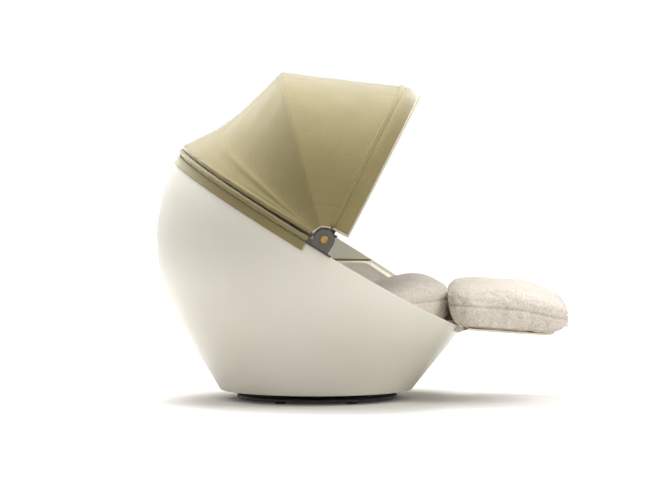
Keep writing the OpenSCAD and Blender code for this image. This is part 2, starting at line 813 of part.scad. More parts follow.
module bracket() {
    plate_h = pivot_rise;
    leg_out_y = plan_r(wall_in_r, ball_z - bracket_leg_h) - 2 * seat_clear;
    color("#1f1f1f") in_rim_plane() difference() {
        union() {
            translate([-bracket_l / 2, bracket_in_y, 0]) cube([bracket_l, foot_out_y - bracket_in_y, bracket_foot_t]);
            translate([-bracket_r, bracket_in_y, 0]) cube([2 * bracket_r, bracket_t, plate_h]);
            translate([0, bracket_in_y, plate_h]) rotate([-90, 0, 0]) cylinder(r = bracket_r, h = bracket_t);
            translate([-bracket_r, bracket_in_y, -bracket_leg_h])
                cube([2 * bracket_r, leg_out_y - bracket_in_y - shell_wall / 3, bracket_leg_h]);
        }
        translate([0, 0, plate_h]) rotate([-90, 0, 0]) cylinder(r = pivot_bolt_r + pin_clear, h = ball_r + overrun);
        rotate([0, -rim_tilt, 0]) translate(-ball_c) each_bracket_screw() cylinder(r = screw_r + pin_clear, h = 6 * shell_wall, center = true);
    }
}

module bracket_left() {
    bracket();
}

module bracket_right() {
    mirror([0, 1, 0]) bracket();
}

screw_x = bracket_r / 2;
screw_drop = bracket_leg_h / 2;

// Screw axes run out along Y; the local origin is on the shell's outer face
module each_bracket_screw() {
    for (side = [-1, 1], x = [-screw_x, screw_x]) on_side(side) in_rim_plane()
        translate([x, sqrt(pow(ball_r, 2) - pow(x, 2) - pow(screw_drop, 2)), -screw_drop]) rotate([-90, 0, 0]) children();
}

module bracket_screws() {
    l = ball_r - bracket_in_y;
    color("#8d9094") each_bracket_screw() {
        translate([0, 0, -l]) cylinder(r = screw_r, h = l);
        cylinder(r = screw_head_r, h = screw_head_h);
    }
}

module on_pivot() {
    for (side = [-1, 1]) on_side(side) translate(pivot_c) rotate([-90, 0, 0]) children();
}

module pivot_bolts() {
    color("#6f7276") on_pivot() translate([0, 0, bracket_in_y - nut_h]) cylinder(r = pivot_bolt_r, h = cap_y - bracket_in_y + nut_h);
}

module pivot_nuts() {
    color("#6f7276") on_pivot() translate([0, 0, bracket_in_y - nut_h]) difference() {
        cylinder(r = nut_r, h = nut_h, $fn = 6);
        translate([0, 0, -overrun]) cylinder(r = pivot_bolt_r + pin_clear, h = nut_h + 2 * overrun);
    }
}

// Washers between the bracket, the layered lugs and the cover plate
module pivot_washers() {
    lows = [bracket_out_y, front_layer_r + bow_t, middle_layer_r + bow_t, upper_layer_r + bow_t];
    tops = [for (r = [front_layer_r, middle_layer_r, upper_layer_r, lower_layer_r]) r - seat_clear];
    color("#c8c8c4") on_pivot() for (i = [0 : len(lows) - 1])
        translate([0, 0, lows[i] + seat_clear / 2]) ring(pivot_bolt_r + pin_clear, nut_r, tops[i] - lows[i] - seat_clear / 2);
}

// Cover plates over the lugs: a round top and straight sides down to the bracket's foot
module disc_plates() {
    color("#8f9192") for (side = [-1, 1]) on_side(side) in_rim_plane()
        translate([0, disc_y, pivot_rise]) rotate([-90, 0, 0]) linear_extrude(disc_t) difference() {
            union() {
                circle(disc_r);
                translate([-disc_r, 0]) square([2 * disc_r, pivot_rise - bracket_foot_t - seat_clear]);
            }
            circle(pivot_bolt_r + pin_clear);
        }
}

module bolt_caps() {
    edge = cap_h / 3;
    color("#8a744a") on_pivot() translate([0, 0, cap_y]) rotate_extrude() polygon([
        [0, 0], [cap_r, 0], [cap_r, cap_h - edge], [cap_r - edge, cap_h], [0, cap_h]
    ]);
}

// Footrest hinge on the shell: a flat saddle plate outside the wall and an arm to the knuckle

saddle_t = 6;
saddle_h = 28;
saddle_drop = 19;
saddle_w = strap_w * 2;
web_t = strap_w / 3;
saddle_yaw = asin(hinge_y / ball_r);
saddle_pitch = asin(saddle_drop / ball_r);
saddle_r = ball_r + seat_clear / 2;
hinge_screw_side = strap_w * 0.72;

module each_hinge() {
    for (side = [-1, 1]) on_side(side) translate([0, hinge_y, 0]) children();
}

// X runs out of the wall, square to it, from the ball's centre
module each_saddle() {
    for (side = [-1, 1]) on_side(side) in_rim_plane() rotate([0, 0, saddle_yaw]) rotate([0, saddle_pitch, 0]) children();
}

module each_hinge_screw() {
    each_saddle() for (dy = [-hinge_screw_side, hinge_screw_side])
        translate([saddle_r + saddle_t, dy, 0]) rotate([0, 90, 0]) children();
}

// The hinge axis in the rim plane's frame: along the rim plane and out of it
hinge_along = (hinge_c - ball_c) * rim_along;
hinge_out = (hinge_c - ball_c) * rim_out;

module hinge_arm() {
    wall_x = sqrt(pow(ball_r, 2) - pow(hinge_y - web_t, 2)) + saddle_t / 2;
    polygon([
        [wall_x, -saddle_drop - saddle_h / 2], [wall_x + saddle_t, -saddle_drop - saddle_h / 2],
        [hinge_along + knuckle_r * 0.8, hinge_out - knuckle_r * 0.6],
        [hinge_along, hinge_out],
        [hinge_along - knuckle_r * 0.5, hinge_out + knuckle_r * 0.86],
        [wall_x, -saddle_drop + saddle_h / 2]
    ]);
}

module hinge_brackets() {
    color("#2b2b2b") difference() {
        union() {
            each_saddle() translate([saddle_r, -saddle_w / 2, -saddle_h / 2]) cube([saddle_t, saddle_w, saddle_h]);
            in_rim_plane() each_hinge() rotate([90, 0, 0]) linear_extrude(web_t, center = true) hinge_arm();
            each_hinge() translate([hinge_c[0], 0, hinge_c[2]]) rotate([90, 0, 0])
                cylinder(r = knuckle_r, h = web_t, center = true);
        }
        each_hinge() translate([hinge_c[0], 0, hinge_c[2]]) rotate([90, 0, 0])
            cylinder(r = hinge_pin_r + pin_clear, h = saddle_w, center = true);
        each_hinge_screw() cylinder(r = screw_r + pin_clear, h = 6 * shell_wall, center = true);
    }
}

module hinge_screws() {
    l = saddle_t + shell_wall;
    color("#8d9094") each_hinge_screw() {
        translate([0, 0, -l]) cylinder(r = screw_r, h = l);
        cylinder(r = screw_head_r, h = screw_head_h);
    }
}

module hinge_pins() {
    color("#8d9094") each_hinge() translate([hinge_c[0], 0, hinge_c[2]]) rotate([90, 0, 0])
        cylinder(r = hinge_pin_r, h = strap_w + 2 * shell_wall, center = true);
}

// Footrest. In its own frame X runs along the board and Z is square to it, from the hinge axis.
module in_footrest() {
    translate(hinge_c) rotate([0, footrest_droop, 0]) children();
}

board_start = knuckle_r + 3 * seat_clear;
board_corner_r = footrest_w / 5;
board_l = footrest_l - board_setback;

module footrest_outline() {
    r = board_corner_r;
    half = footrest_w / 2;
    polygon(concat(
        [[board_start, -half]],
        [for (a = [-90 : 5 : 0]) [board_l - r + r * cos(a), -half + r + r * sin(a)]],
        [for (a = [0 : 5 : 90]) [board_l - r + r * cos(a), half - r + r * sin(a)]],
        [[board_start, half]]
    ));
}

module footrest_board() {
    color("#d9cfb6") in_footrest() difference() {
        translate([0, 0, board_w0]) linear_extrude(footrest_t) footrest_outline();
        each_strap_screw() cylinder(r = screw_r + pin_clear, h = 6 * footrest_t, center = true);
    }
}

module hinge_straps() {
    lug_w = (strap_w - web_t) / 2 - seat_clear;
    color("#2b2b2b") in_footrest() difference() {
        union() {
            each_hinge() translate([2 * knuckle_r, -strap_w / 2, 0]) cube([strap_l - 2 * knuckle_r, strap_w, strap_t]);
            each_hinge() for (side = [-1, 1]) on_side(side) translate([0, web_t / 2 + seat_clear, 0]) {
                rotate([-90, 0, 0]) cylinder(r = knuckle_r, h = lug_w);
                translate([0, 0, -strap_t]) cube([3 * knuckle_r, lug_w, 2 * strap_t]);
            }
        }
        each_hinge() rotate([90, 0, 0]) cylinder(r = hinge_pin_r + pin_clear, h = 2 * strap_w, center = true);
        each_strap_screw() cylinder(r = screw_r + pin_clear, h = 6 * footrest_t, center = true);
        translate([0, 0, board_w0]) translate([board_start, -footrest_w, 0]) cube([strap_l, 2 * footrest_w, strap_t]);
    }
}

module each_strap_screw() {
    each_hinge() for (x = [strap_l / 3, strap_l * 0.9]) translate([x, 0, 0]) children();
}

module strap_screws() {
    color("#8d9094") in_footrest() each_strap_screw() {
        cylinder(r = screw_r, h = board_w1 - screw_head_h);
        translate([0, 0, -screw_head_h]) cylinder(r = screw_head_r, h = screw_head_h);
    }
}

// Foot cushion: its rear end leans back over the seat cushions' round front
foot_rear_gap = 44;
foot_overhang = 62;
foot_front_gap = 3;

function foot_plan() =
    let (half = footrest_w / 2, f = footrest_l - foot_front_gap)
    round_outline([[-foot_rear_gap, -half], [f, -half], [f, half], [-foot_rear_gap, half]], board_corner_r * 0.75, 5);

// Shares of the length where the top starts to fall and the underside to rise, and the fall itself
nose_share = 0.5;
under_share = 0.775;
nose_fall_share = 0.24;

function ease(t) = let (s = min(1, max(0, t))) s * s * (3 - 2 * s);
function foot_fall(u) = 1 - nose_fall_share * ease((u / footrest_l - nose_share) / (1 - nose_share));
function foot_rise(u) = nose_lift * pow(max(0, u / footrest_l - under_share) / (1 - under_share), 3);

module foot_cushion() {
    line = fill_sides(foot_plan(), ball_r * outline_gap_share);
    c = [footrest_l * 0.42, 0];
    under = [for (s = [0.72, 0.88]) [for (p = shrink(line, c, s)) [p[0], p[1], 0]]];
    rings = concat(under, cushion_rings(line, c, foot_side_h, foot_crown_h));
    high = foot_side_h + foot_crown_h;
    color("#f0eade") in_footrest() translate([0, 0, board_w1 + seat_clear]) ring_stack([for (r = rings) [for (p = r)
        let (
            fall = foot_fall(p[0]),
            rear = max(0, 1 - (p[0] + foot_rear_gap) / (footrest_l / 2)),
            lift = pow(p[2] / high, 0.9),
            low = max(0, 1 - p[2] / foot_side_h)
        )
        [p[0] - foot_overhang * rear * lift, p[1], p[2] * fall + foot_rise(p[0]) * low]]]);
}

// Pull ring on a staple, on an arm that runs from the board's front edge to below the cushion's nose
tab_w = 16;
tab_t = 2;
tab_u = footrest_l - 4 * tab_t;
tab_z = nose_lift * 2 / 3;
staple_wire_r = 0.9;
staple_r = tab_t / 2 + 2 * seat_clear + 2 * ring_wire_r + staple_wire_r;
tab_h = 2 * (staple_r + staple_wire_r);
ring_swing_x = tab_u + tab_t + seat_clear + ring_wire_r;
ring_swing_z = tab_z + tab_h / 2;

module ring_tab() {
    root = board_l + seat_clear;
    arm_t = 2 * tab_t;
    color("#8d9094") in_footrest() {
        rotate([90, 0, 0]) linear_extrude(tab_w, center = true) polygon([
            [root, board_w0], [root + tab_t, board_w0], [tab_u + tab_t, tab_z], [tab_u + tab_t, tab_z + tab_h],
            [tab_u, tab_z + tab_h], [tab_u, tab_z + arm_t], [root + tab_t, board_w0 + arm_t],
            [root + tab_t, board_w1], [root, board_w1]
        ]);
        translate([tab_u + tab_t / 2, 0, ring_swing_z]) rotate([90, 0, 0]) rotate([0, 0, -90])
            rotate_extrude(angle = 180) translate([staple_r, 0]) circle(staple_wire_r, $fn = 24);
    }
}

module pull_ring() {
    color("#a8abad") in_footrest() translate([ring_swing_x, 0, ring_swing_z - ring_r]) rotate([0, 90, 0])
        rotate_extrude() translate([ring_r, 0]) circle(ring_wire_r, $fn = 24);
}

rubber_feet();
plinth();
lower_race();
bearing_balls();
swivel_pin();
shell();
upper_race();
race_bolts();
pin_collar();
ledge_ring();
seat_posts();
seat_board();
board_screws();
liner();
liner_piping();
seat_cushion_left();
seat_cushion_right();
back_cushion_left();
back_cushion_right();
bracket_left();
bracket_right();
bracket_screws();
pivot_bolts();
pivot_nuts();
pivot_washers();
disc_plates();
bolt_caps();
rear_skirt();
hinge_brackets();
hinge_screws();
hinge_pins();
lower_rear_bow();
lower_roll();
lower_tuck();
upper_rear_bow();
upper_roll();
upper_tuck();
middle_bow();
middle_sleeve();
rear_cloth();
front_bow();
front_cloth();
front_hem();
front_binding();
footrest_board();
hinge_straps();
strap_screws();
foot_cushion();
ring_tab();
pull_ring();
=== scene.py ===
import json
import math

import bpy
import numpy as np
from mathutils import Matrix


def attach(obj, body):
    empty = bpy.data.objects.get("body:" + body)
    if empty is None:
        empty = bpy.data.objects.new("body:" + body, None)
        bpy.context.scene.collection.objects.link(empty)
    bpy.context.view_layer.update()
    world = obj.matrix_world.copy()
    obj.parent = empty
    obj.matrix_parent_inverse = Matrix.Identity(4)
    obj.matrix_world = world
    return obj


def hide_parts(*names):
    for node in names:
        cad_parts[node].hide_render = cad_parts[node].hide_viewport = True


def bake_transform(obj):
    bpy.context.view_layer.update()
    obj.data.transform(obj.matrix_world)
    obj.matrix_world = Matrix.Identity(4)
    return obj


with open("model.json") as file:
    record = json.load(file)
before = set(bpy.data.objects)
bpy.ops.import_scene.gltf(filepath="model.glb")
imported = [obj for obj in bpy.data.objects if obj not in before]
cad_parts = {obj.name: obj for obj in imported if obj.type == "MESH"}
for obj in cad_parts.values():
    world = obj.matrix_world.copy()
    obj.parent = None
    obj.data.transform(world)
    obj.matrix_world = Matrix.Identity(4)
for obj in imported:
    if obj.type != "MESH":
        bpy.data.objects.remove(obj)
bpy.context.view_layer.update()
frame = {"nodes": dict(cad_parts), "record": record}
scene = bpy.context.scene
scene.view_settings.view_transform = "Standard"

# The chair's main sizes in metres, as the solids have them
chair = {
    "ballRadius": 0.750, "ballCentre": (0.020, 0.0, 0.725), "wall": 0.009,
    "rimTilt": 31.0, "coneHalfAngle": 35.5, "coneLean": 4.0,
    "underside": 0.045, "floorTop": 0.054, "pinRadius": 0.0121,
    "pivotRise": 0.055, "cutoutRadius": 0.061,
    "frontBow": (62.4, 0.735), "middleBow": (106.2, 0.740),
    "upperBow": (149.8, 0.745), "lowerBow": (149.0, 0.750),
}
ballCentre = np.array(chair["ballCentre"])
tilt = math.radians(chair["rimTilt"])
rimOut = np.array([math.sin(tilt), 0, math.cos(tilt)])
pivot = ballCentre + chair["pivotRise"] * rimOut
sideways = np.array([0.0, 1.0, 0.0])


def unit(v):
    # each vector over its own length
    return v / np.maximum(np.linalg.norm(v, axis=-1, keepdims=True), 1e-12)


def smooth(x):
    # 3x^2 - 2x^3 between 0 and 1
    x = np.clip(x, 0, 1)
    return x * x * (3 - 2 * x)


def ripple(u, v, seed, waves, low, high):
    # sum of sine waves of random heading, with "low" to "high" waves to the metre, scaled to about -1..1
    rng = np.random.default_rng(seed)
    total = np.zeros(np.broadcast(u, v).shape)
    headings = rng.uniform(0, 2 * np.pi, waves)
    pitches = rng.uniform(low, high, waves)
    phases = rng.uniform(0, 2 * np.pi, waves)
    for heading, pitch, phase in zip(headings, pitches, phases):
        total = total + np.sin(2 * np.pi * pitch * (u * np.cos(heading) + v * np.sin(heading)) + phase)
    return total / math.sqrt(waves)


def runLength(points, axis):
    # length along each row or column of points, from 0 at its start
    steps = np.linalg.norm(np.diff(points, axis=axis), axis=-1)
    start = np.zeros_like(np.take(steps, [0], axis=axis))
    return np.concatenate([start, np.cumsum(steps, axis)], axis)


def roundCorner(before, corner, after, radius, count=9):
    # quadratic curve from one side to the other, pulled toward the corner
    a, b = corner + unit(before - corner) * radius, corner + unit(after - corner) * radius
    t = np.linspace(0, 1, count).reshape(-1, *[1] * corner.ndim)
    return (1 - t) ** 2 * a + 2 * t * (1 - t) * corner + t ** 2 * b


def linked(name, data):
    # a new object in the scene
    obj = bpy.data.objects.new(name, data)
    scene.collection.objects.link(obj)
    return obj


def gridPiece(name, points, material, wrapRows=False, wrapCols=False, closeEnds=False,
              outFrom=None, sharp=None):
    # Quads over a grid of points (rows, columns, 3). Wrapping joins last to first, closing adds a fan
    # on each end row. UVs are the lengths along the row, from its middle, and along the column, in metres.
    rows, cols = points.shape[:2]
    r, c = np.meshgrid(np.arange(rows if wrapRows else rows - 1),
                       np.arange(cols if wrapCols else cols - 1), indexing="ij")
    rn, cn = (r + 1) % rows, (c + 1) % cols
    quads = np.stack([r * cols + c, r * cols + cn, rn * cols + cn, rn * cols + c], -1).reshape(-1, 4)
    around = np.concatenate([points, points[:, :1]], 1) if wrapCols else points
    down = np.concatenate([points, points[:1]], 0) if wrapRows else points
    lengthU = runLength(around, 1)
    lengthU = lengthU - lengthU[:, -1:] / 2
    lengthV = runLength(down, 0)
    r1, c1 = r + 1, c + 1
    uv = np.stack([
        np.stack([lengthU[r, c], lengthV[r, c]], -1), np.stack([lengthU[r, c1], lengthV[r, cn]], -1),
        np.stack([lengthU[rn, c1], lengthV[r1, cn]], -1), np.stack([lengthU[rn, c], lengthV[r1, c]], -1),
    ], -2).reshape(-1, 2)
    verts = points.reshape(-1, 3)
    faces = quads.tolist()
    if closeEnds:
        n = len(verts)
        ring = np.arange(cols)
        nxt = (ring + 1) % cols
        verts = np.vstack([verts, points[0].mean(0), points[-1].mean(0)])
        last = (rows - 1) * cols
        fans = np.vstack([np.stack([nxt, ring, np.full(cols, n)], -1),
                          np.stack([last + ring, last + nxt, np.full(cols, n + 1)], -1)])
        faces += fans.tolist()
        uv = np.vstack([uv, (verts[fans][..., :2]).reshape(-1, 2)])
    corner = verts[quads]
    origin = verts.mean(0) if outFrom is None else np.array(outFrom)
    normal = np.cross(corner[:, 2] - corner[:, 0], corner[:, 3] - corner[:, 1])
    mesh = bpy.data.meshes.new(name)
    mesh.from_pydata(verts.tolist(), [], faces)
    layer = mesh.uv_layers.new(name="UVMap")
    layer.data.foreach_set("uv", uv.astype(np.float32).ravel())
    if ((corner.mean(1) - origin) * normal).sum() < 0:
        mesh.flip_normals()
    mesh.polygons.foreach_set("use_smooth", np.ones(len(mesh.polygons), bool))
    if sharp:
        mesh.set_sharp_from_angle(angle=math.radians(sharp))
    mesh.materials.append(material)
    mesh.update()
    return linked(name, mesh)


def swept(name, path, axisA, axisB, section, material, **more):
    # A section of (a, b) offsets carried along a path: point = path + a * axisA + b * axisB
    section = np.broadcast_to(section, (len(path),) + np.shape(section)[-2:])
    points = path[:, None] + section[..., :1] * axisA[:, None] + section[..., 1:] * axisB[:, None]
    return gridPiece(name, points, material, wrapCols=True, **more)


def circle(radius, count):
    t = np.linspace(0, 2 * np.pi, count, endpoint=False)
    return np.stack([radius * np.cos(t), radius * np.sin(t)], -1)


def archPoint(centre, angle, radius, f):
    # centre + radius * (sin f cos a, cos f, sin f sin a): half a circle from +Y over the top to -Y
    a = np.radians(angle)
    return np.asarray(centre) + np.asarray(radius)[..., None] * np.stack(
        [np.sin(f) * np.cos(a), np.cos(f) + 0 * a, np.sin(f) * np.sin(a)], -1)


def archFrame(centre, angle, radius, f):
    # points of an arch with their outward axis and the axis square to its plane, toward the rear
    points = archPoint(centre, angle, np.full(f.shape, radius), f)
    a = math.radians(angle)
    rearward = np.broadcast_to([-math.sin(a), 0, math.cos(a)], points.shape)
    return points, unit(points - np.asarray(centre)), rearward


def archSpan(radius, count, short=0.0):
    f0 = math.asin((chair["cutoutRadius"] + short) / radius)
    return np.linspace(f0, np.pi - f0, count)


# ---- materials

def linear(hexText):
    # sRGB hex to a linear colour
    s = np.array([int(hexText[i:i + 2], 16) for i in (1, 3, 5)]) / 255
    return (*np.where(s <= 0.04045, s / 12.92, ((s + 0.055) / 1.055) ** 2.4), 1.0)


def addNode(tree, kind, inputs, **settings):
    node = tree.nodes.new(kind)
    for key, value in settings.items():
        setattr(node, key, value)
    for key, value in inputs.items():
        if isinstance(value, bpy.types.NodeSocket):
            tree.links.new(value, node.inputs[key])
        else:
            node.inputs[key].default_value = value
    return node


def surface(name, base, **sockets):
    # a material with its shader ready; sockets are set on the shader itself
    material = bpy.data.materials.new(name)
    material.use_nodes = True
    tree = material.node_tree
    shader = tree.nodes["Principled BSDF"]
    shader.inputs["Base Color"].default_value = linear(base)
    for key, value in sockets.items():
        shader.inputs[key].default_value = value
    material.diffuse_color = linear(base)
    return material, tree, shader


def mixed(tree, factor, a, b):
    node = addNode(tree, "ShaderNodeMix", {0: factor, 6: a, 7: b}, data_type="RGBA")
    return node.outputs[2]


def coordinates(tree, kind="Object"):
    return addNode(tree, "ShaderNodeTexCoord", {}).outputs[kind]


def noise(tree, place, scale, detail, **more):
    inputs = {"Vector": place, "Scale": scale, "Detail": detail, **more}
    return addNode(tree, "ShaderNodeTexNoise", inputs).outputs[0]


def combined(tree, operation, a, b):
    return addNode(tree, "ShaderNodeMath", {0: a, 1: b}, operation=operation).outputs[0]


def setColour(tree, shader, tone):
    tree.links.new(tone, shader.inputs["Base Color"])


def ramp(tree, value, low, high, to=(0.0, 1.0)):
    return addNode(tree, "ShaderNodeMapRange", {0: value, 1: low, 2: high, 3: to[0], 4: to[1]}).outputs[0]


def bump(tree, shader, height, strength, distance):
    node = addNode(tree, "ShaderNodeBump", {"Height": height, "Strength": strength, "Distance": distance})
    tree.links.new(node.outputs[0], shader.inputs["Normal"])


def gelcoat():
    # White gelcoat on moulded glass fibre: an even, half-glossy skin, pale and slightly warm, with faint
    # rub marks in its gloss and the mould's waviness, 110 mm from crest to crest
    material, tree, shader = surface("GelcoatWhite", "#e4e1d5", **{
        "Roughness": 0.34, "IOR": 1.5, "Coat Weight": 0.2, "Coat Roughness": 0.15})
    place = coordinates(tree)
    cloud = noise(tree, place, 2.2, 2.0)
    setColour(tree, shader, mixed(tree, ramp(tree, cloud, 0.3, 0.7), linear("#e6e3d8"), linear("#e1ddcf")))
    rub = noise(tree, place, 26.0, 6.0)
    tree.links.new(ramp(tree, rub, 0.3, 0.7, (0.30, 0.38)), shader.inputs["Roughness"])
    wave = noise(tree, place, 9.0, 1.0)
    bump(tree, shader, wave, 0.05, 0.0006)
    return material


def canvas(name, light, dark, thread=0.0032, sheen=0.25, show=1.0, bloom="#efe8cd"):
    # Woven acrylic canvas: matt, with a plain weave, slubs along both threads and a bloom at grazing light.
    # Real threads are 0.6 mm apart; they are drawn 3.2 mm apart, the finest that shows.
    material, tree, shader = surface(name, light, **{
        "Roughness": 0.82, "Sheen Weight": sheen, "Sheen Roughness": 0.4, "Specular IOR Level": 0.25})
    shader.inputs["Sheen Tint"].default_value = linear(bloom)
    uv = coordinates(tree, "UV")
    place = coordinates(tree)
    bands = {"Vector": uv, "Scale": 0.314 / thread, "Distortion": 0.3, "Detail Scale": 2.0}
    warp, weft = [addNode(tree, "ShaderNodeTexWave", bands, bands_direction=way).outputs[1]
                  for way in ("X", "Y")]
    weave = combined(tree, "MULTIPLY", warp, weft)
    slubs = []
    for stretch in ((14, 220, 1), (220, 14, 1)):
        long = addNode(tree, "ShaderNodeMapping", {"Vector": uv, "Scale": stretch}).outputs[0]
        slubs.append(noise(tree, long, 1.0, 2.0))
    slub = combined(tree, "MULTIPLY", slubs[0], slubs[1])
    faded = noise(tree, place, 4.0, 3.0)
    tone = mixed(tree, ramp(tree, slub, 0.12, 0.40, (0.55 * show, 0.0)), linear(light), linear(dark))
    tone = mixed(tree, ramp(tree, faded, 0.35, 0.75, (0.0, 0.3 * show)), tone, linear(dark))
    tone = mixed(tree, ramp(tree, weave, 0.0, 0.35, (0.14 * show, 0.0)), tone, linear(dark))
    setColour(tree, shader, tone)
    bump(tree, shader, combined(tree, "ADD", weave, slub), 0.16, 0.0005)
    return material


def boucle():
    # Boucle cloth: small curled loops, drawn 6 mm across so that they show, with a soft pale bloom.
    # The mesh attribute "seam" is 1 on a sewn seam and 0 away from it; there the colour is darkened as
    # painted shade of the seam's groove.
    material, tree, shader = surface("BoucleCream", "#e4dccf", **{
        "Roughness": 0.95, "Sheen Weight": 0.45, "Sheen Roughness": 0.55, "Specular IOR Level": 0.15})
    shader.inputs["Sheen Tint"].default_value = linear("#fdfcfa")
    place = coordinates(tree)
    turn = addNode(tree, "ShaderNodeTexNoise", {"Vector": place, "Scale": 60.0, "Detail": 2.0}).outputs[1]
    curled = addNode(tree, "ShaderNodeMix", {0: 0.02, 4: place, 5: turn}, data_type="VECTOR").outputs[1]
    cells = {"Vector": curled, "Scale": 170.0, "Smoothness": 0.6}
    loops = addNode(tree, "ShaderNodeTexVoronoi", cells, feature="SMOOTH_F1").outputs[0]
    fuzz = noise(tree, place, 240.0, 3.0)
    patch = noise(tree, place, 9.0, 3.0)
    tone = mixed(tree, ramp(tree, loops, 0.15, 0.75), linear("#efe9df"), linear("#c9bcab"))
    tone = mixed(tree, ramp(tree, fuzz, 0.4, 0.7, (0.0, 0.35)), tone, linear("#d3c7b7"))
    tone = mixed(tree, ramp(tree, patch, 0.4, 0.7, (0.0, 0.25)), tone, linear("#f3eee5"))
    seam = addNode(tree, "ShaderNodeAttribute", {}, attribute_name="seam").outputs["Fac"]
    # painted shade: the cloth darkens toward #8a7a66 along the seams, where the "seam" attribute is high
    tone = mixed(tree, ramp(tree, seam, 0.25, 0.9, (0.0, 0.7)), tone, linear("#8a7a66"))
    setColour(tree, shader, tone)
    bump(tree, shader, combined(tree, "SUBTRACT", fuzz, loops), 0.5, 0.0025)
    return material


def paint(name, base, worn, roughness, metallic=0.0, grain=600.0, wearFrom=0.62):
    # A coated or bare hard finish: fine grain in its bump, cloudy roughness, and worn spots of another tone
    material, tree, shader = surface(name, base, **{"Roughness": roughness, "Metallic": metallic})
    place = coordinates(tree)
    cloud = noise(tree, place, 35.0, 5.0)
    fine = noise(tree, place, grain, 2.0)
    wear = ramp(tree, cloud, wearFrom, wearFrom + 0.12, (0.0, 0.6))
    setColour(tree, shader, mixed(tree, wear, linear(base), linear(worn)))
    cloudy = ramp(tree, cloud, 0.3, 0.7, (roughness * 0.85, min(1.0, roughness * 1.25)))
    tree.links.new(cloudy, shader.inputs["Roughness"])
    bump(tree, shader, fine, 0.25, 0.0003)
    return material


def plywood():
    # Birch plywood under clear lacquer: long pale grain, half glossy
    material, tree, shader = surface("BirchPlywood", "#c9a877", **{"Roughness": 0.45})
    place = coordinates(tree)
    long = addNode(tree, "ShaderNodeMapping", {"Vector": place, "Scale": (2.0, 34.0, 34.0)}).outputs[0]
    grain = noise(tree, long, 2.2, 6.0, Distortion=1.2)
    setColour(tree, shader, mixed(tree, ramp(tree, grain, 0.35, 0.7), linear("#d3b486"), linear("#a98656")))
    bump(tree, shader, grain, 0.15, 0.0004)
    return material


print("materials")
finish = {
    "rubber": paint("RubberBlack", "#1d1d1c", "#2b2a28", 0.85, grain=300.0),
    "plinth_black": paint("PowderCoatBlack", "#24231f", "#34322c", 0.55, grain=420.0),
    "race_steel": paint("ZincPlatedSteel", "#a5a6a2", "#7f7d76", 0.4, 1.0),
    "screw_steel": paint("StainlessSteel", "#8d8c87", "#6f6d67", 0.40, 1.0),
    "shell_white": gelcoat(),
    "board_wood": plywood(),
    "board_cream": paint("CreamLacquer", "#e3d9c2", "#d6cab0", 0.4, grain=200.0),
    "frame_black": paint("SatinPaintBlack", "#26241f", "#3c3932", 0.45),
    "liner_cloth": canvas("LinerCanvasBeige", "#f1ece0", "#ded6c6", sheen=0.15, show=0.7, bloom="#ffffff"),
    "piping_olive": canvas("PipingOlive", "#8c8a5c", "#6c693f", thread=0.002, sheen=0.1),
    "boucle": boucle(),
    "bracket_black": paint("SatinPaintBlackBrown", "#2b2925", "#3d3a34", 0.5),
    "disc_grey": paint("SatinPaintGrey", "#524f48", "#625f56", 0.42),
    "cap_brass": paint("BrassTarnished", "#96794a", "#5d4a2c", 0.42, 1.0, wearFrom=0.45),
    "bow_metal": paint("PowderCoatGrey", "#4b4d4c", "#5d5e5b", 0.5),
    "hood_cloth": canvas("CanvasOlive", "#93875d", "#7d724b", sheen=1.0, bloom="#fffdf2"),
    "binding_beige": canvas("BindingTapeBeige", "#cfc5b0", "#b3a791", thread=0.0024, sheen=0.1),
    "ring_metal": paint("SteelPolished", "#c2c2bf", "#8e8b84", 0.25, 1.0),
}
for node, obj in frame["nodes"].items():
    slotName = next(part["material_slot"] for part in frame["record"]["subparts"] if part["node"] == node)
    for slot in obj.material_slots:
        slot.material = finish[slotName]

# ---- shell

print("shell")
shell = {"around": 240, "wallRows": 44, "coneRows": 10, "lip": 0.003, "corner": 0.004}


def wallRows(radius, azimuth, level, dip):
    # From just below the lip along great circles to the cone's edge, then straight toward the cone's tip
    # as far as a level
    lean = math.radians(chair["coneLean"])
    axis = np.array([math.sin(lean), 0, math.cos(lean)])
    ahead = np.array([math.cos(lean), 0, -math.sin(lean)])
    across = np.cos(azimuth)[:, None] * ahead + np.sin(azimuth)[:, None] * sideways
    atRim = unit(across - axis * (across @ rimOut)[:, None] / (axis @ rimOut))
    start = unit(atRim * math.sqrt(1 - (dip / radius) ** 2) - rimOut * dip / radius)
    low = -math.radians(chair["coneHalfAngle"])
    end = math.cos(low) * across + math.sin(low) * axis
    turn = np.arccos((start * end).sum(-1))[None, :, None]
    t = np.linspace(0, 1, shell["wallRows"])[:, None, None]
    ball = ballCentre + radius * (np.sin((1 - t) * turn) * start + np.sin(t * turn) * end) / np.sin(turn)
    tip = ballCentre + axis * radius / math.sin(low)
    share = ((ball[-1, :, 2] - level) / (ball[-1, :, 2] - tip[2]))[None, :, None]
    cone = ball[-1] + np.linspace(0, 1, shell["coneRows"])[1:, None, None] * share * (tip - ball[-1])
    return atRim, np.concatenate([ball, cone])


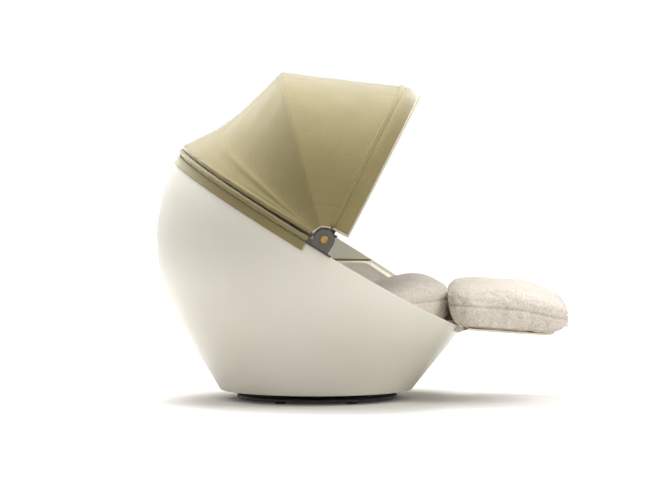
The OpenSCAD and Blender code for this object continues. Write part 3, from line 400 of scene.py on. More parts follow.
def shellPoints():
    azimuth = np.linspace(0, 2 * np.pi, shell["around"], endpoint=False)
    radius, wall, lip = chair["ballRadius"], chair["wall"], shell["lip"]
    atRim, outer = wallRows(radius, azimuth, chair["underside"], lip)
    _, inner = wallRows(radius - wall, azimuth, chair["floorTop"], lip)
    bend = np.radians(np.linspace(0, 90, 5))
    turnOut = np.stack([radius - lip + lip * np.cos(bend), -lip + lip * np.sin(bend)], -1)
    turnIn = np.stack([radius - wall + lip - lip * np.sin(bend), -lip + lip * np.cos(bend)], -1)
    section = np.vstack([turnOut, turnIn])
    lipRows = ballCentre + section[::-1, None, :1] * atRim + section[::-1, None, 1:] * rimOut
    hole = chair["pinRadius"] * np.stack([np.cos(azimuth), np.sin(azimuth), 0 * azimuth], -1)
    low, high = hole + [0, 0, chair["underside"]], hole + [0, 0, chair["floorTop"]]
    mid = np.linspace(0.15, 0.9, 4)[:, None, None]
    return np.concatenate([
        low[None], low + mid * (outer[-1] - low), roundCorner(low, outer[-1], outer[-2], shell["corner"], 3),
        outer[-2:0:-1], lipRows[::-1], inner[1:-1],
        roundCorner(inner[-2], inner[-1], high, shell["corner"], 3), high + mid[::-1] * (inner[-1] - high),
        high[None],
    ])


shellSkin = gridPiece("shell_skin", shellPoints(), finish["shell_white"], wrapRows=True, wrapCols=True,
                      outFrom=ballCentre - [0, 0, 0.2], sharp=50)
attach(shellSkin, "shell"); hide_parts("shell")

# ---- liner

print("liner")
liner = {"bottom": 0.3653, "top": 0.586, "outer": 0.7402, "thick": 0.045, "channels": 24, "puff": 0.007,
         "shoulder": 0.015, "edge": 0.004, "around": 260, "rows": 14, "rimGap": 0.010, "fromAngle": 15.0}


def linerSide(azimuth, radius):
    # height of the liner's top edge at each azimuth, found step by step where the rim plane cuts it off
    top = np.full(azimuth.shape, liner["top"])
    for _ in range(30):
        plan = np.sqrt(radius ** 2 - (top - ballCentre[2]) ** 2)
        cut = ballCentre[2] - plan * np.cos(azimuth) * math.tan(tilt)
        cut = cut - (liner["rimGap"] + liner["edge"]) / math.cos(tilt)
        top = 0.5 * top + 0.5 * np.clip(cut, liner["bottom"] + liner["edge"], liner["top"])
    return top


def linerPoints():
    azimuth = np.radians(np.linspace(liner["fromAngle"], 360 - liner["fromAngle"], liner["around"]))
    outerR, innerR = liner["outer"] - 0.0005, liner["outer"] - liner["thick"]
    topOut, topIn = linerSide(azimuth, outerR), linerSide(azimuth, innerR)
    t = np.linspace(0, 1, liner["rows"])[:, None]
    zOut = liner["bottom"] + t * (topOut - liner["edge"] - liner["bottom"])
    shoulder = np.minimum(liner["shoulder"], (topIn - liner["bottom"]) / 2)
    zIn = liner["bottom"] + t[::-1] * (topIn - shoulder - liner["bottom"])
    ray = np.abs(np.cos(azimuth * liner["channels"] / 2))
    puff = liner["puff"] * (ray ** 0.6 - 0.35) * np.sin(np.pi * np.clip(t[::-1] * 0.9 + 0.05, 0, 1)) ** 0.5
    planOut = np.sqrt(outerR ** 2 - (zOut - ballCentre[2]) ** 2)
    planIn = np.sqrt(innerR ** 2 - (zIn - ballCentre[2]) ** 2) - puff
    bend = np.linspace(0.08, 0.94, 9)[:, None]
    # the top face rolls from the wall over to the inner face: a quarter of a superellipse, slightly swollen
    planTop = planOut[-1] + (planIn[0] - planOut[-1]) * np.sin(bend * np.pi / 2) ** 0.9
    zTop = zIn[0] + (topOut + 0.002 * ray - zIn[0]) * np.clip(np.cos(bend * np.pi / 2), 0, 1) ** 0.5
    plan, z = np.vstack([planOut, planTop, planIn]), np.vstack([zOut, zTop, zIn])
    points = np.stack([ballCentre[0] + plan * np.cos(azimuth), plan * np.sin(azimuth), z], -1)
    return np.swapaxes(points, 0, 1)


linerPad = gridPiece("liner_pad", linerPoints(), finish["liner_cloth"], wrapCols=True, closeEnds=True,
                     sharp=70)
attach(linerPad, "shell"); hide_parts("liner")

piping = {"radius": 0.005, "height": 0.5915, "circle": 0.7055, "fromX": 0.231, "around": 300}
half = math.acos(piping["fromX"] / piping["circle"]) + 0.02
turn = np.linspace(half, 2 * np.pi - half, piping["around"])
radial = np.stack([np.cos(turn), np.sin(turn), 0 * turn], -1)
pipePath = np.array([ballCentre[0], 0, piping["height"]]) + piping["circle"] * radial
fromEnd = np.arange(piping["around"])
taper = np.sqrt(np.clip(np.minimum(fromEnd + 0.3, piping["around"] - 0.7 - fromEnd) / 2.0, 0, 1))
pipeCord = swept("liner_piping_cord", pipePath, radial, np.broadcast_to([0, 0, 1.0], radial.shape),
                 circle(piping["radius"], 14) * taper[:, None, None], finish["piping_olive"], closeEnds=True)
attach(pipeCord, "shell"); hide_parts("liner_piping")

# ---- cushions

print("cushions")
cushions = {
    "seat": {"base": 0.3655, "side": 0.100, "crown": 0.090, "round": 0.5918, "centre": (0.60, 0.42),
             "gap": 0.004, "rear": 0.366, "fall": 0.3, "fallFrom": 0.13, "fallOver": 0.30},
    "back": {"base": 0.3655, "wide": 0.496, "high": 0.512, "thick": 0.118, "corner": 0.068, "front": 0.372,
             "deep": 0.070, "half": 0.250, "gap": 0.003, "lean": 14.0, "yaw": 30.0},
    "foot": {"fromU": -0.042, "toU": 0.461, "half": 0.392, "base": 0.0155, "side": 0.098, "crown": 0.094,
             "corner": 0.1185, "centre": (0.196, 0.0), "overhang": 0.092, "overhangOver": 0.233,
             "length": 0.466, "noseFrom": 0.46, "noseFall": 0.27, "underFrom": 0.70, "underLift": 0.058,
             "hinge": (0.678, 0, 0.336), "tilt": 4.0},
    "step": 0.010, "voxel": 0.0085, "frames": 16, "cap": 0.009, "mass": 0.3, "stiff": 20, "bend": 0.6,
    "sewnWide": 0.008, "grooveWide": 0.0058, "shadeWide": 0.0040,
    "pucker": 0.0042, "puckerLong": 0.034, "slack": 0.0020,
}


def evenly(line):
    # a closed line of points, set out again at even spacing
    ring = np.vstack([line, line[:1]])
    along = runLength(ring, 0)
    at = np.linspace(0, along[-1], int(along[-1] / cushions["step"]), endpoint=False)
    return np.stack([np.interp(at, along, ring[:, k]) for k in range(2)], -1)


def roundedBox(corners, radius, count=9):
    turns = [roundCorner(corners[i - 1], corners[i], corners[(i + 1) % 4], radius, count) for i in range(4)]
    return evenly(np.vstack(turns))


def boxProfile(side, crown, power=3.0, blunt=1.95):
    # (share of the outline, height) from the middle of the underside, round the side, over the crown
    under = [(s, 0.0) for s in (0.05, 0.3, 0.55, 0.78, 0.92)]
    flank = [(0.965, 0.0), (0.985, 0.03), (0.997, 0.14), (1.0, 0.34), (1.0, 0.62), (0.996, 0.82),
             (0.988, 0.94), (0.982, 1.0)]
    s = np.concatenate([np.linspace(0.965, 0.7, 9), np.linspace(0.62, 0.04, 9)])
    over = [(a, side + crown * (1 - a ** power) ** (1 / blunt)) for a in s]
    return np.array(under + [(a, b * side) for a, b in flank] + over)


def seatOutline():
    seat = cushions["seat"]
    y0, radius, x0 = seat["gap"], seat["round"], ballCentre[0]
    yaw = math.radians(cushions["back"]["yaw"])
    end = math.acos(-seat["rear"] / radius) - yaw - math.radians(2)
    arc = np.linspace(math.asin(y0 / radius), end, 60)
    arcPoints = np.stack([x0 + radius * np.cos(arc), radius * np.sin(arc)], -1)
    rear = np.array([x0 - (seat["rear"] - y0 * math.sin(yaw)) / math.cos(yaw), y0])
    return evenly(np.vstack([
        roundCorner(rear, arcPoints[0], arcPoints[3], 0.026), arcPoints[3:56],
        roundCorner(arcPoints[56], arcPoints[-1], rear, 0.046),
        roundCorner(arcPoints[-1], rear, arcPoints[0], 0.046),
    ]))


def stacked(line, centre, profile):
    # rings of an outline drawn in toward a centre, one for each (share, height)
    flat = centre + (line[None] - centre) * profile[:, :1, None]
    return np.concatenate([flat, np.broadcast_to(profile[:, 1, None, None], flat.shape[:2] + (1,))], -1)


def seamDistance(points, seams):
    # shortest distance from each point to curves of close points, a few curve points at a time
    best = np.full(len(points), 1e9)
    for part in np.array_split(np.concatenate(seams), 24):
        best = np.minimum(best, np.linalg.norm(points[:, None] - part[None], axis=-1).min(1))
    return best


def meshPoints(mesh, what="co"):
    co = np.empty(len(mesh.vertices) * 3, np.float32)
    mesh.vertices.foreach_get(what, co)
    return co.reshape(-1, 3).astype(float)


def setPoints(mesh, points):
    mesh.vertices.foreach_set("co", points.astype(np.float32).ravel())


def bake(obj):
    # the object's mesh with its modifiers applied
    graph = bpy.context.evaluated_depsgraph_get()
    mesh = bpy.data.meshes.new_from_object(obj.evaluated_get(graph))
    obj.modifiers.clear()
    old = obj.data
    obj.data = mesh
    bpy.data.meshes.remove(old)


def stuffed(name, points, seams, floorLevel=None, grow=0.012, pressure=1.2, seed=1, groove=0.0085):
    # A closed form becomes a filled cover: even remesh, cloth blown up between its seams, one
    # subdivision, then the sewn grooves and puckers
    piece = gridPiece(name, points, finish["boucle"], wrapCols=True, closeEnds=True)
    remesh = piece.modifiers.new("even", "REMESH")
    remesh.mode, remesh.voxel_size, remesh.use_smooth_shade = "VOXEL", cushions["voxel"], True
    bake(piece)
    start = meshPoints(piece.data)
    keep = piece.vertex_groups.new(name="sewn")
    weight = np.clip(1.6 - seamDistance(start, seams) / cushions["sewnWide"], 0, 1)
    if floorLevel is not None:
        weight = np.maximum(weight, np.clip((floorLevel + 0.004 - start[:, 2]) / 0.003, 0, 1))
    for level in np.linspace(0.2, 1.0, 5):
        keep.add(np.flatnonzero(np.abs(weight - level) <= 0.1001).tolist(), float(level), "REPLACE")
    cloth = piece.modifiers.new("cover", "CLOTH")
    settings = cloth.settings
    settings.quality, settings.mass = 5, cushions["mass"]
    for kind in ("tension", "compression", "shear"):
        setattr(settings, kind + "_stiffness", cushions["stiff"])
    settings.bending_stiffness = cushions["bend"]
    settings.use_pressure, settings.uniform_pressure_force = True, pressure
    settings.vertex_group_mass, settings.pin_stiffness = "sewn", 2.0
    settings.shrink_min = -grow
    settings.effector_weights.gravity = 0
    cloth.collision_settings.use_collision = False
    for step in range(1, cushions["frames"] + 1):
        scene.frame_set(step)
    bake(piece)
    scene.frame_set(1)
    piece.vertex_groups.clear()
    shift = meshPoints(piece.data) - start
    size = np.linalg.norm(shift, axis=1, keepdims=True)
    setPoints(piece.data, start + shift * np.minimum(1, cushions["cap"] / np.maximum(size, 1e-9)))
    finer = piece.modifiers.new("finer", "SUBSURF")
    finer.levels = finer.render_levels = 1
    bake(piece)
    now, normals = meshPoints(piece.data), meshPoints(piece.data, "normal")
    near = seamDistance(now, seams)
    sink = groove * np.exp(-(near / cushions["grooveWide"]) ** 2)
    # puckers: short creases that run away from the seams and fade out within 6 cm
    along = ripple(now[:, 0], now[:, 1], seed, 7, 14, 26)
    fade = np.exp(-near / cushions["puckerLong"]) * (1 - np.exp(-near / cushions["sewnWide"]))
    pucker = cushions["pucker"] * along * fade
    slack = cushions["slack"] * ripple(now[:, 0] + 0.3 * now[:, 2], now[:, 1], seed + 1, 6, 2.5, 6)
    now = now + normals * (pucker + slack - sink)[:, None]
    if floorLevel is not None:
        now[:, 2] = np.maximum(now[:, 2], floorLevel)
    setPoints(piece.data, now)
    piece.data.materials.clear()
    piece.data.materials.append(finish["boucle"])
    piece.data.polygons.foreach_set("use_smooth", np.ones(len(piece.data.polygons), bool))
    # how close each point is to a seam, for the painted seam shade in the cloth's colour
    sewn = piece.data.attributes.new("seam", "FLOAT", "POINT")
    sewn.data.foreach_set("value", np.exp(-(near / cushions["shadeWide"]) ** 2).astype(np.float32))
    piece.data.update()
    return piece


def turned(points, degrees, axis):
    # points turned about a world axis through the origin, by the right-hand rule
    a = math.radians(degrees)
    c, s = math.cos(a), math.sin(a)
    x, y, z = points[..., 0], points[..., 1], points[..., 2]
    if axis == "y":
        return np.stack([c * x + s * z, y, -s * x + c * z], -1)
    return np.stack([c * x - s * y, s * x + c * y, z], -1)


def mirrored(piece, name):
    # the same cover sewn the other way round: Y changes sign and the faces turn back
    mesh = piece.data.copy()
    setPoints(mesh, meshPoints(mesh) * [1, -1, 1])
    mesh.flip_normals()
    mesh.update()
    return linked(name, mesh)


def seatCover():
    seat = cushions["seat"]
    line = seatOutline()
    centre = seat["round"] * np.array(seat["centre"]) + [ballCentre[0], 0]
    front = ballCentre[0] + seat["round"]

    def settle(points):
        low = 1 - seat["fall"] * smooth((front - seat["fallFrom"] - points[..., 0]) / seat["fallOver"])
        return np.stack([points[..., 0], points[..., 1], seat["base"] + points[..., 2] * low], -1)

    rings = settle(stacked(line, centre, boxProfile(seat["side"], seat["crown"])))
    seams = settle(stacked(line, centre, np.array([(0.975, seat["side"]), (0.975, 0.003)])))
    return stuffed("seat_cover_left", rings, seams, floorLevel=seat["base"], seed=11)


def backCover():
    back = cushions["back"]
    high, wide, thick = back["high"], back["wide"], back["thick"]
    corners = np.array([[0, -wide / 2], [0, wide / 2], [high, wide / 2], [high, -wide / 2]]) + [0.004, 0]
    line = roundedBox(corners, back["corner"])
    centre = np.array([high / 2, 0])
    share = np.concatenate([np.linspace(0.04, 0.85, 12), np.linspace(0.9, 0.99, 6)])
    leaf = [(a, thick / 2 * (1 - a ** 3) ** (1 / 2.2)) for a in share]
    profile = np.array([(a, -b) for a, b in leaf] + [(1.0, 0.0)] + leaf[::-1])

    def settle(points):
        # stood up and leant back, moved clear of the chair's middle, then turned to its side
        yaw = math.radians(back["yaw"])
        tall = turned(points - [0, 0, back["deep"]], back["lean"] - 90, "y")
        shift = (back["gap"] - (back["front"] + back["deep"]) * math.sin(yaw)) / math.cos(yaw) + back["half"]
        tall = tall + [back["front"], -shift, 0]
        lift = back["deep"] * math.sin(math.radians(back["lean"])) + back["base"]
        return turned(tall, 180 - back["yaw"], "z") + [ballCentre[0], 0, lift]

    seams = settle(stacked(line, centre, np.array([(1.0, 0.0)])))
    return stuffed("back_cover_left", settle(stacked(line, centre, profile)), seams,
                   grow=0.03, pressure=2.0, seed=23, groove=0.003)


def footrestPlace(points):
    # from the footrest's own frame, along the board and square to it, to the row frame
    return turned(points, cushions["foot"]["tilt"], "y") + cushions["foot"]["hinge"]


def footCover():
    foot = cushions["foot"]
    near, far, half = foot["fromU"], foot["toU"], foot["half"]
    line = roundedBox(np.array([[near, -half], [far, -half], [far, half], [near, half]]), foot["corner"], 14)
    centre = np.array(foot["centre"])
    high = foot["side"] + foot["crown"]

    def settle(points):
        # the rear leans back, the top falls and the underside rises toward the nose
        u, z = points[..., 0], points[..., 2]
        rear = np.maximum(0, 1 - (u - foot["fromU"]) / foot["overhangOver"])
        lean = np.maximum(z / high, 0) ** 0.9
        share = u / foot["length"]
        fall = 1 - foot["noseFall"] * smooth((share - foot["noseFrom"]) / (1 - foot["noseFrom"]))
        rise = foot["underLift"] * np.maximum(0, (share - foot["underFrom"]) / (1 - foot["underFrom"])) ** 3
        low = np.maximum(0, 1 - z / foot["side"])
        height = z * fall + rise * low + foot["base"]
        return np.stack([u - foot["overhang"] * rear * lean, points[..., 1], height], -1)

    rings = settle(stacked(line, centre, boxProfile(foot["side"], foot["crown"], 4.0, 2.4)))
    seams = settle(stacked(line, centre, np.array([(0.980, foot["side"]), (0.975, 0.004)])))
    piece = stuffed("foot_cover", rings, seams, floorLevel=foot["base"], seed=37)
    setPoints(piece.data, footrestPlace(meshPoints(piece.data)))
    piece.data.update()
    return piece


covers = [seatCover(), backCover()]
covers += [mirrored(covers[0], "seat_cover_right"), mirrored(covers[1], "back_cover_right")]
coverNodes = ("seat_cushion_left", "back_cushion_left", "seat_cushion_right", "back_cushion_right")
for cover, node in zip(covers, coverNodes):
    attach(cover, "shell"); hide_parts(node)
footPad = footCover()
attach(footPad, "footrest"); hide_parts("foot_cushion")

# ---- hood

print("hood")
hood = {
    "rows": 60, "cols": 150, "radius": 0.741, "cloth": 0.0016, "blendHalf": 0.230,
    "patch": 0.150, "patchThick": 0.0014, "patchOut": 0.0012,
    "frontSag": 0.002, "rearSag": 0.034, "waveRadius": 0.74,
    "foldHigh": 0.009, "folds": ((0.79, 0.040, 0.7, 0.3), (0.90, 0.024, 0.6, 1.9)),
    "edges": ((-0.75, 0.0036), (0.0, 0.0062), (-0.55, 0.0100)),
    "roll": 0.0126, "tuck": 0.103, "tuckFlat": 0.215, "tuckThick": 0.0012, "binding": 0.0045,
    "hemRadius": 0.737, "hemFrom": 0.0095, "hemWide": 0.074, "hemFlat": 0.076,
    "hemIn": 0.009, "hemBulge": 0.008, "hemThick": 0.0024, "hemBinding": 0.005,
    "skirtRadius": 0.752, "skirtOut": 0.7530, "skirt": 0.040, "skirtFlat": 0.048,
    "skirtThick": 0.0014, "skirtBinding": 0.004, "skirtHem": (0.0010, 0.036, 0.006),
    "skirtTurn": (0.006, 0.004),
}


def spacing(count, ends=0.35):
    # 0 to 1, a little closer at both ends
    t = np.linspace(0, 1, count)
    return (1 - ends) * t + ends * (1 - np.cos(np.pi * t)) / 2


def panelPoints(edgeA, edgeB, shape, s, f, out=0.0):
    # Ruled cloth between two arches about the pivot, moved outward by shape(s, f)
    (angleA, radiusA), (angleB, radiusB) = edgeA, edgeB
    f = np.broadcast_to(f, (len(s), f.shape[-1]))
    a = archPoint((0, 0, 0), angleA, np.full(f.shape, radiusA), f)
    b = archPoint((0, 0, 0), angleB, np.full(f.shape, radiusB), f)
    s = s[:, None]
    flat = a * (1 - s[..., None]) + b * s[..., None]
    return pivot + flat + unit(flat) * (shape(s, f) + out)[..., None]


def tautShape(seed, sag, foldHigh=0.0):
    # Outward shift of cloth at share s of the way between two bows and angle f round the arch: sag between
    # the bows, faint unevenness, short puckers square to the seams, and long soft folds that run beside the
    # rear bow toward the pivot. Each fold has its share, width, height and turn.
    def shape(s, f):
        crown = np.clip(np.sin(f), 0, 1)
        skew = s ** 1.25
        along = f * hood["waveRadius"]
        edge = np.minimum(s, 1 - s)
        hold = np.clip(edge / 0.08, 0, 1)
        hang = -sag * 4 * skew * (1 - skew) * crown ** 0.6
        fine = 0.0011 * ripple(s * 0.55, along, seed, 8, 3, 7) * hold * crown ** 2
        pucker = 0.0011 * np.sin(along * 2 * np.pi * 15 + 1.3 * np.sin(f * 9))
        pucker = pucker * np.exp(-edge / 0.09) * crown ** 6 * hold
        drape = 0.0
        for at, wide, high, turn in hood["folds"]:
            line = at + 0.02 * np.sin(2.3 * f + turn) + 0.03 * (crown - 0.6)
            swell = 0.55 + 0.45 * np.sin(3.1 * f + 2 * turn)
            drape = drape + foldHigh * high * np.exp(-((s - line) / wide) ** 2) * swell
        side = (1 - 0.85 * crown ** 3) * np.clip(crown / 0.45, 0, 1)
        return hang + fine + pucker + drape * side * hold
    return shape


def clothPiece(name, points, material, body=None, blend=None, thick=None):
    piece = gridPiece(name, points, material, outFrom=pivot)
    wall = piece.modifiers.new("thickness", "SOLIDIFY")
    wall.thickness, wall.offset = thick or hood["cloth"], -1.0
    if body:
        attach(piece, body)
    if blend:
        bake(piece)
        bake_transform(piece)
    return piece


def blendLine(first, second, firstAngle, secondAngle):
    # across the fan of cloth between two bows, square to the plane midway between them
    middle = math.radians((firstAngle + secondAngle) / 2)
    reach = math.copysign(hood["blendHalf"], secondAngle - firstAngle)
    square = reach * np.array([-math.sin(middle), 0, math.cos(middle)])
    return first, second, tuple(pivot - square), tuple(pivot + square)


cols = hood["cols"]
front, middleBow, upper, lower = chair["frontBow"], chair["middleBow"], chair["upperBow"], chair["lowerBow"]
# each panel's edge lies over its bow, turned off it by some degrees and lifted by half a bow, the pocket's
# cloth and a little air
frontEdge, middleEdge, upperEdge = [
    (bow[0] + edgeTurn, bow[1] + edgeLift)
    for bow, (edgeTurn, edgeLift) in zip((front, middleBow, upper), hood["edges"])]
frontLine = blendLine("middle_bow", "front_bow", middleBow[0], front[0])
rearLine = blendLine("upper_bow", "middle_bow", upper[0], middleBow[0])
frontShape, rearShape = tautShape(3, hood["frontSag"]), tautShape(5, hood["rearSag"], hood["foldHigh"])
sAll = spacing(hood["rows"])
fAll = archSpan(hood["radius"], cols)


def endBinding(name, edge, outFrom, body=None, blend=None, radius=None):
    # a bound edge: a slightly flattened tube along a row of points
    radius = radius or hood["binding"]
    along = unit(np.gradient(edge, axis=0))
    axisA = unit(edge - np.asarray(outFrom))
    axisA = unit(axisA - along * (axisA * along).sum(-1, keepdims=True))
    axisB = np.cross(along, axisA)
    section = circle(radius, 14) * [0.75, 1.0]
    piece = swept(name, edge, axisA, axisB, section, finish["binding_beige"], closeEnds=True)
    if body:
        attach(piece, body)
    if blend:
        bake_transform(piece)
    return piece


def pocketTube(name, bow, body, size, node=None):
    # the pocket that holds a bow: a flat tube swept along the arch, standing a little proud as a seam ridge
    span = archSpan(bow[1], 120, 0.004)
    path, outAxis, rearAxis = archFrame(pivot, bow[0], bow[1] + size[2], span)
    ring = circle(1.0, 28)
    section = np.sign(ring) * np.abs(ring) ** 0.6 * size[:2]
    tube = swept(name, path, outAxis, rearAxis, section, finish["hood_cloth"], closeEnds=True)
    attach(tube, body)
    if node:
        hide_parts(node)
    return tube


def panel(name, edgeA, edgeB, shape, line, node):
    points = panelPoints(edgeA, edgeB, shape, sAll, fAll)
    piece = clothPiece(name, points, finish["hood_cloth"], blend=line)
    for side, column in (("left", 0), ("right", -1)):
        edge = points[:, column]
        edge = edge - unit(edge - pivot) * 0.001
        endBinding(f"{name}_binding_{side}", edge, ballCentre, blend=line)
    # a reinforcing patch sewn on at each lower corner; its edge is a circle about the pivot, so that it
    # reaches further up the cloth midway between the bows
    inner = sAll[1:-1, None]
    fanned = math.radians(abs(edgeA[0] - edgeB[0]))
    reach = np.sqrt(1 - 2 * inner * (1 - inner) * (1 - math.cos(fanned)))
    patchTop = np.arcsin(hood["patch"] / (hood["radius"] * reach))
    patchF = fAll[0] + (patchTop - fAll[0]) * np.linspace(0, 1, 18)
    for side, f in (("left", patchF), ("right", np.pi - patchF)):
        patchPoints = panelPoints(edgeA, edgeB, shape, sAll[1:-1], f, out=hood["patchOut"])
        patch = clothPiece(f"{name}_patch_{side}", patchPoints, finish["hood_cloth"], blend=line,
                           thick=hood["patchThick"])
    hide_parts(node)


frontPocket = pocketTube("front_pocket", front, "front_bow", (0.0046, 0.0115, 0.0012))
middlePocket = pocketTube("middle_pocket", middleBow, "middle_bow", (0.0046, 0.0130, 0.0), "middle_sleeve")
panel("front_panel", frontEdge, middleEdge, frontShape, frontLine, "front_cloth")
panel("rear_panel", middleEdge, upperEdge, rearShape, rearLine, "rear_cloth")

# two stacked rolls over the rear bows: soft, slightly flattened, wrinkled along their length
for name, centre, bow, body, node, seed in (
    ("upper_roll_cloth", pivot, upper, "upper_bow", "upper_roll", 41),
    ("lower_roll_cloth", ballCentre + 0.018 * rimOut, lower, "lower_bow", "lower_roll", 43),
):
    span = archSpan(bow[1], 220, 0.006)
    path, outAxis, rearAxis = archFrame(centre, bow[0], bow[1], span)
    t = np.linspace(0, 2 * np.pi, 30, endpoint=False)
    swell = 1 + 0.05 * ripple(span[:, None] * 0.75, t[None] * 0.012, seed, 7, 6, 20)
    wide = hood["roll"] * (1 - 0.10 * np.exp(-((np.sin(span) - 0.1) / 0.25) ** 2))[:, None]
    section = np.stack([wide * swell * np.cos(t), wide * swell * np.sin(t) * 0.97], -1)
    roll = swept(name, path, outAxis, rearAxis, section, finish["hood_cloth"], closeEnds=True)
    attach(roll, body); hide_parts(node)

# tucks of folded cloth that hang inward between the stacked bows: a V from one roll to the next
for name, low, high, highAngle, radius, bodies, node, blendOver in (
    ("lower_tuck_cloth", ballCentre + 0.0006 * rimOut, ballCentre + 0.018 * rimOut, lower[0], 0.7368,
     ("shell", "lower_bow"), "lower_tuck", 0.0165),
    ("upper_tuck_cloth", ballCentre + 0.0185 * rimOut, pivot, upper[0], 0.7319,
     ("lower_bow", "upper_bow"), "upper_tuck", 0.0255),
):
    span = archSpan(radius, 160)
    a = archPoint(low, lower[0], np.full(span.shape, radius), span)
    b = archPoint(high, highAngle, np.full(span.shape, radius), span)
    tip = (a + b) / 2 + unit(pivot - (a + b) / 2) * hood["tuck"]
    t = np.linspace(0, 1, 16)[:, None, None]
    legs = np.concatenate([a + (tip - a) * t, tip + (b - tip) * t[1:]])
    down = np.linspace(0, 1, len(legs))[:, None]
    wrinkle = 0.0012 * ripple(span[None] * hood["waveRadius"], down * 0.2, 51, 6, 6, 16)
    wrinkle = wrinkle * np.sin(np.pi * down)
    legs = legs + rimOut * wrinkle[..., None]
    tuckPiece = clothPiece(name, legs, finish["hood_cloth"], thick=hood["tuckThick"])
    bake(tuckPiece)
    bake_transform(tuckPiece)
    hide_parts(node)

# skirt over the rim's outside, with a rolled hem at its foot and bound ends
skirtF = archSpan(hood["skirtRadius"], cols)
depths = np.concatenate([[0.004, 0.002], np.linspace(0, -hood["skirt"] + 0.001, 9)])
(hemHigh, hemAt, hemHalf), (turnDeep, turnOver) = hood["skirtHem"], hood["skirtTurn"]
hemRoll = hemHigh * np.clip(1 - np.abs(depths + hemAt) / hemHalf, 0, 1)
turnIn = turnDeep * np.clip(depths / turnOver, 0, 1)
skirtRows = []
for depth, radius in zip(depths, hood["skirtOut"] + hemRoll - turnIn):
    wave = 0.0006 * ripple(skirtF * 0.75, np.full(skirtF.shape, depth), 61, 5, 3, 9)
    skirtRows.append(archPoint(ballCentre + depth * rimOut, lower[0], radius + wave, skirtF))
skirtRows = np.stack(skirtRows)
skirtPiece = clothPiece("skirt_cloth", skirtRows, finish["hood_cloth"], body="shell",
                        thick=hood["skirtThick"])
skirtEnds = [endBinding(f"skirt_binding_{side}", skirtRows[:, column], ballCentre, body="shell",
                        radius=hood["skirtBinding"])
             for side, column in (("left", 0), ("right", -1))]
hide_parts("rear_skirt")

# hem band ahead of the front bow, and its beige binding round three sides
a = math.radians(front[0])
rearward = np.array([-math.sin(a), 0, math.cos(a)])
bandF = archSpan(hood["hemRadius"], cols)
bandRows = []
for t in np.linspace(0, 1, 14):
    z = -(hood["hemFrom"] + t * (hood["hemWide"] + 0.002))
    bulge = hood["hemBulge"] * math.sin(math.pi * t ** 0.75)
    radius = frontEdge[1] - 0.0008 - hood["hemIn"] * t + bulge
    wave = 0.0008 * ripple(bandF * hood["waveRadius"], np.full(bandF.shape, t * 0.08), 71, 6, 4, 10)
    wave = wave * math.sin(math.pi * t)
    bandRows.append(archPoint(pivot + z * rearward, front[0], radius + wave, bandF))
bandRows = np.stack(bandRows)
band = clothPiece("hem_band", bandRows, finish["hood_cloth"], body="front_bow", thick=hood["hemThick"])
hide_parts("front_hem")
edgePath = np.concatenate([bandRows[:-1, 0], bandRows[-1], bandRows[:-1, -1][::-1]])
hemBinding = endBinding("hem_binding", edgePath, ballCentre, body="front_bow", radius=hood["hemBinding"])
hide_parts("front_binding")

# ---- stage, light and camera

print("stage")
stage = {"worldLight": 0.33, "floor": "#dedcd8",
         "glowNear": 0.04, "glowFar": 1.0, "glowFrom": 0.55, "glowTo": 1.75,
         "overhead": (292, 3.4, (-0.6, 1.3, 4.8)), "frontHigh": (130, 3.0, (3.6, -2.4, 4.2)),
         "frontLow": (44, 2.6, (2.4, -5.4, 2.2)), "rearLeft": (76, 3.0, (-3.6, 0.4, 4.2)),
         "distance": 35.0, "azimuth": 1.2, "elevation": 3.5, "aim": (0.0264, 0.0, 0.716),
         "frameWide": 646 * 0.00456}


def seenDirectly(tree, *kinds):
    # 1 for the rays named, 0 for the light that falls on the chair
    seen = addNode(tree, "ShaderNodeLightPath", {})
    total = seen.outputs[kinds[0]]
    for kind in kinds[1:]:
        total = combined(tree, "MAXIMUM", total, seen.outputs[kind])
    return total


world = bpy.data.worlds.new("Studio")
scene.world = world
world.use_nodes = True
tree = world.node_tree
tree.nodes.clear()
plain = addNode(tree, "ShaderNodeBackground", {"Color": (1, 1, 1, 1), "Strength": 1.0}).outputs[0]
worldTone = {"Color": linear("#fffdfa"), "Strength": stage["worldLight"]}
soft = addNode(tree, "ShaderNodeBackground", worldTone).outputs[0]
direct = seenDirectly(tree, "Is Camera Ray", "Is Glossy Ray", "Is Transmission Ray")
both = addNode(tree, "ShaderNodeMixShader", {0: direct, 1: soft, 2: plain}).outputs[0]
addNode(tree, "ShaderNodeOutputWorld", {"Surface": both})

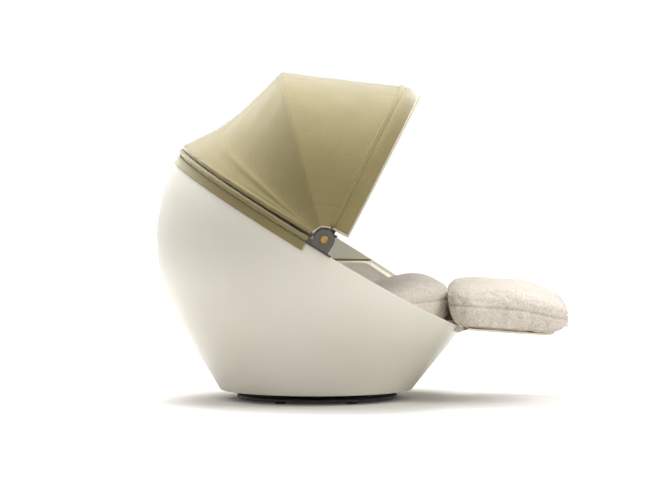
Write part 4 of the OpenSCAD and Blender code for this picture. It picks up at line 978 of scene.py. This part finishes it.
# the floor glows more with distance from the chair, so it runs into the white behind and keeps the shadow
floorSpan = np.linspace(-12, 12, 25)
floorX, floorY = np.meshgrid(floorSpan, floorSpan, indexing="ij")
floorMaterial, tree, shader = surface("StudioFloorPale", stage["floor"], **{
    "Roughness": 0.9, "Specular IOR Level": 0.0})
place = coordinates(tree)
away = addNode(tree, "ShaderNodeVectorMath", {0: place}, operation="LENGTH").outputs["Value"]
shine = ramp(tree, away, stage["glowFrom"], stage["glowTo"], (stage["glowNear"], stage["glowFar"]))
glow = addNode(tree, "ShaderNodeEmission", {"Color": (1, 1, 1, 1), "Strength": shine}).outputs[0]
dark = addNode(tree, "ShaderNodeEmission", {"Color": (0, 0, 0, 1), "Strength": 0.0}).outputs[0]
direct = seenDirectly(tree, "Is Camera Ray", "Is Glossy Ray")
glow = addNode(tree, "ShaderNodeMixShader", {0: direct, 1: dark, 2: glow}).outputs[0]
total = addNode(tree, "ShaderNodeAddShader", {0: shader.outputs[0], 1: glow}).outputs[0]
tree.links.new(total, tree.nodes["Material Output"].inputs["Surface"])
floorPoints = np.stack([floorX, floorY, 0 * floorX], -1)
floorPiece = gridPiece("studio_floor", floorPoints, floorMaterial, outFrom=(0, 0, -5))

for name in ("overhead", "frontHigh", "frontLow", "rearLeft"):
    power, size, place = stage[name]
    lamp = bpy.data.lights.new(name, "AREA")
    lamp.shape, lamp.size, lamp.energy = "DISK", size, power
    lampObject = linked(name, lamp)
    lampObject.location = place
    toward = np.array([0.1, 0, 0.9]) - place
    lean = math.atan2(math.hypot(toward[0], toward[1]), -toward[2])
    lampObject.rotation_euler = (lean, 0, math.atan2(-toward[0], toward[1]))

camera = bpy.data.cameras.new("view")
camera.sensor_width, camera.clip_end = 36, 200
camera.lens = camera.sensor_width * stage["distance"] / stage["frameWide"]
cameraObject = linked("view", camera)
az, el = math.radians(stage["azimuth"]), math.radians(stage["elevation"])
outward = np.array([math.sin(az) * math.cos(el), -math.cos(az) * math.cos(el), math.sin(el)])
cameraObject.location = stage["aim"] + stage["distance"] * outward
cameraObject.rotation_euler = (math.pi / 2 - el, 0, az)
scene.camera = cameraObject
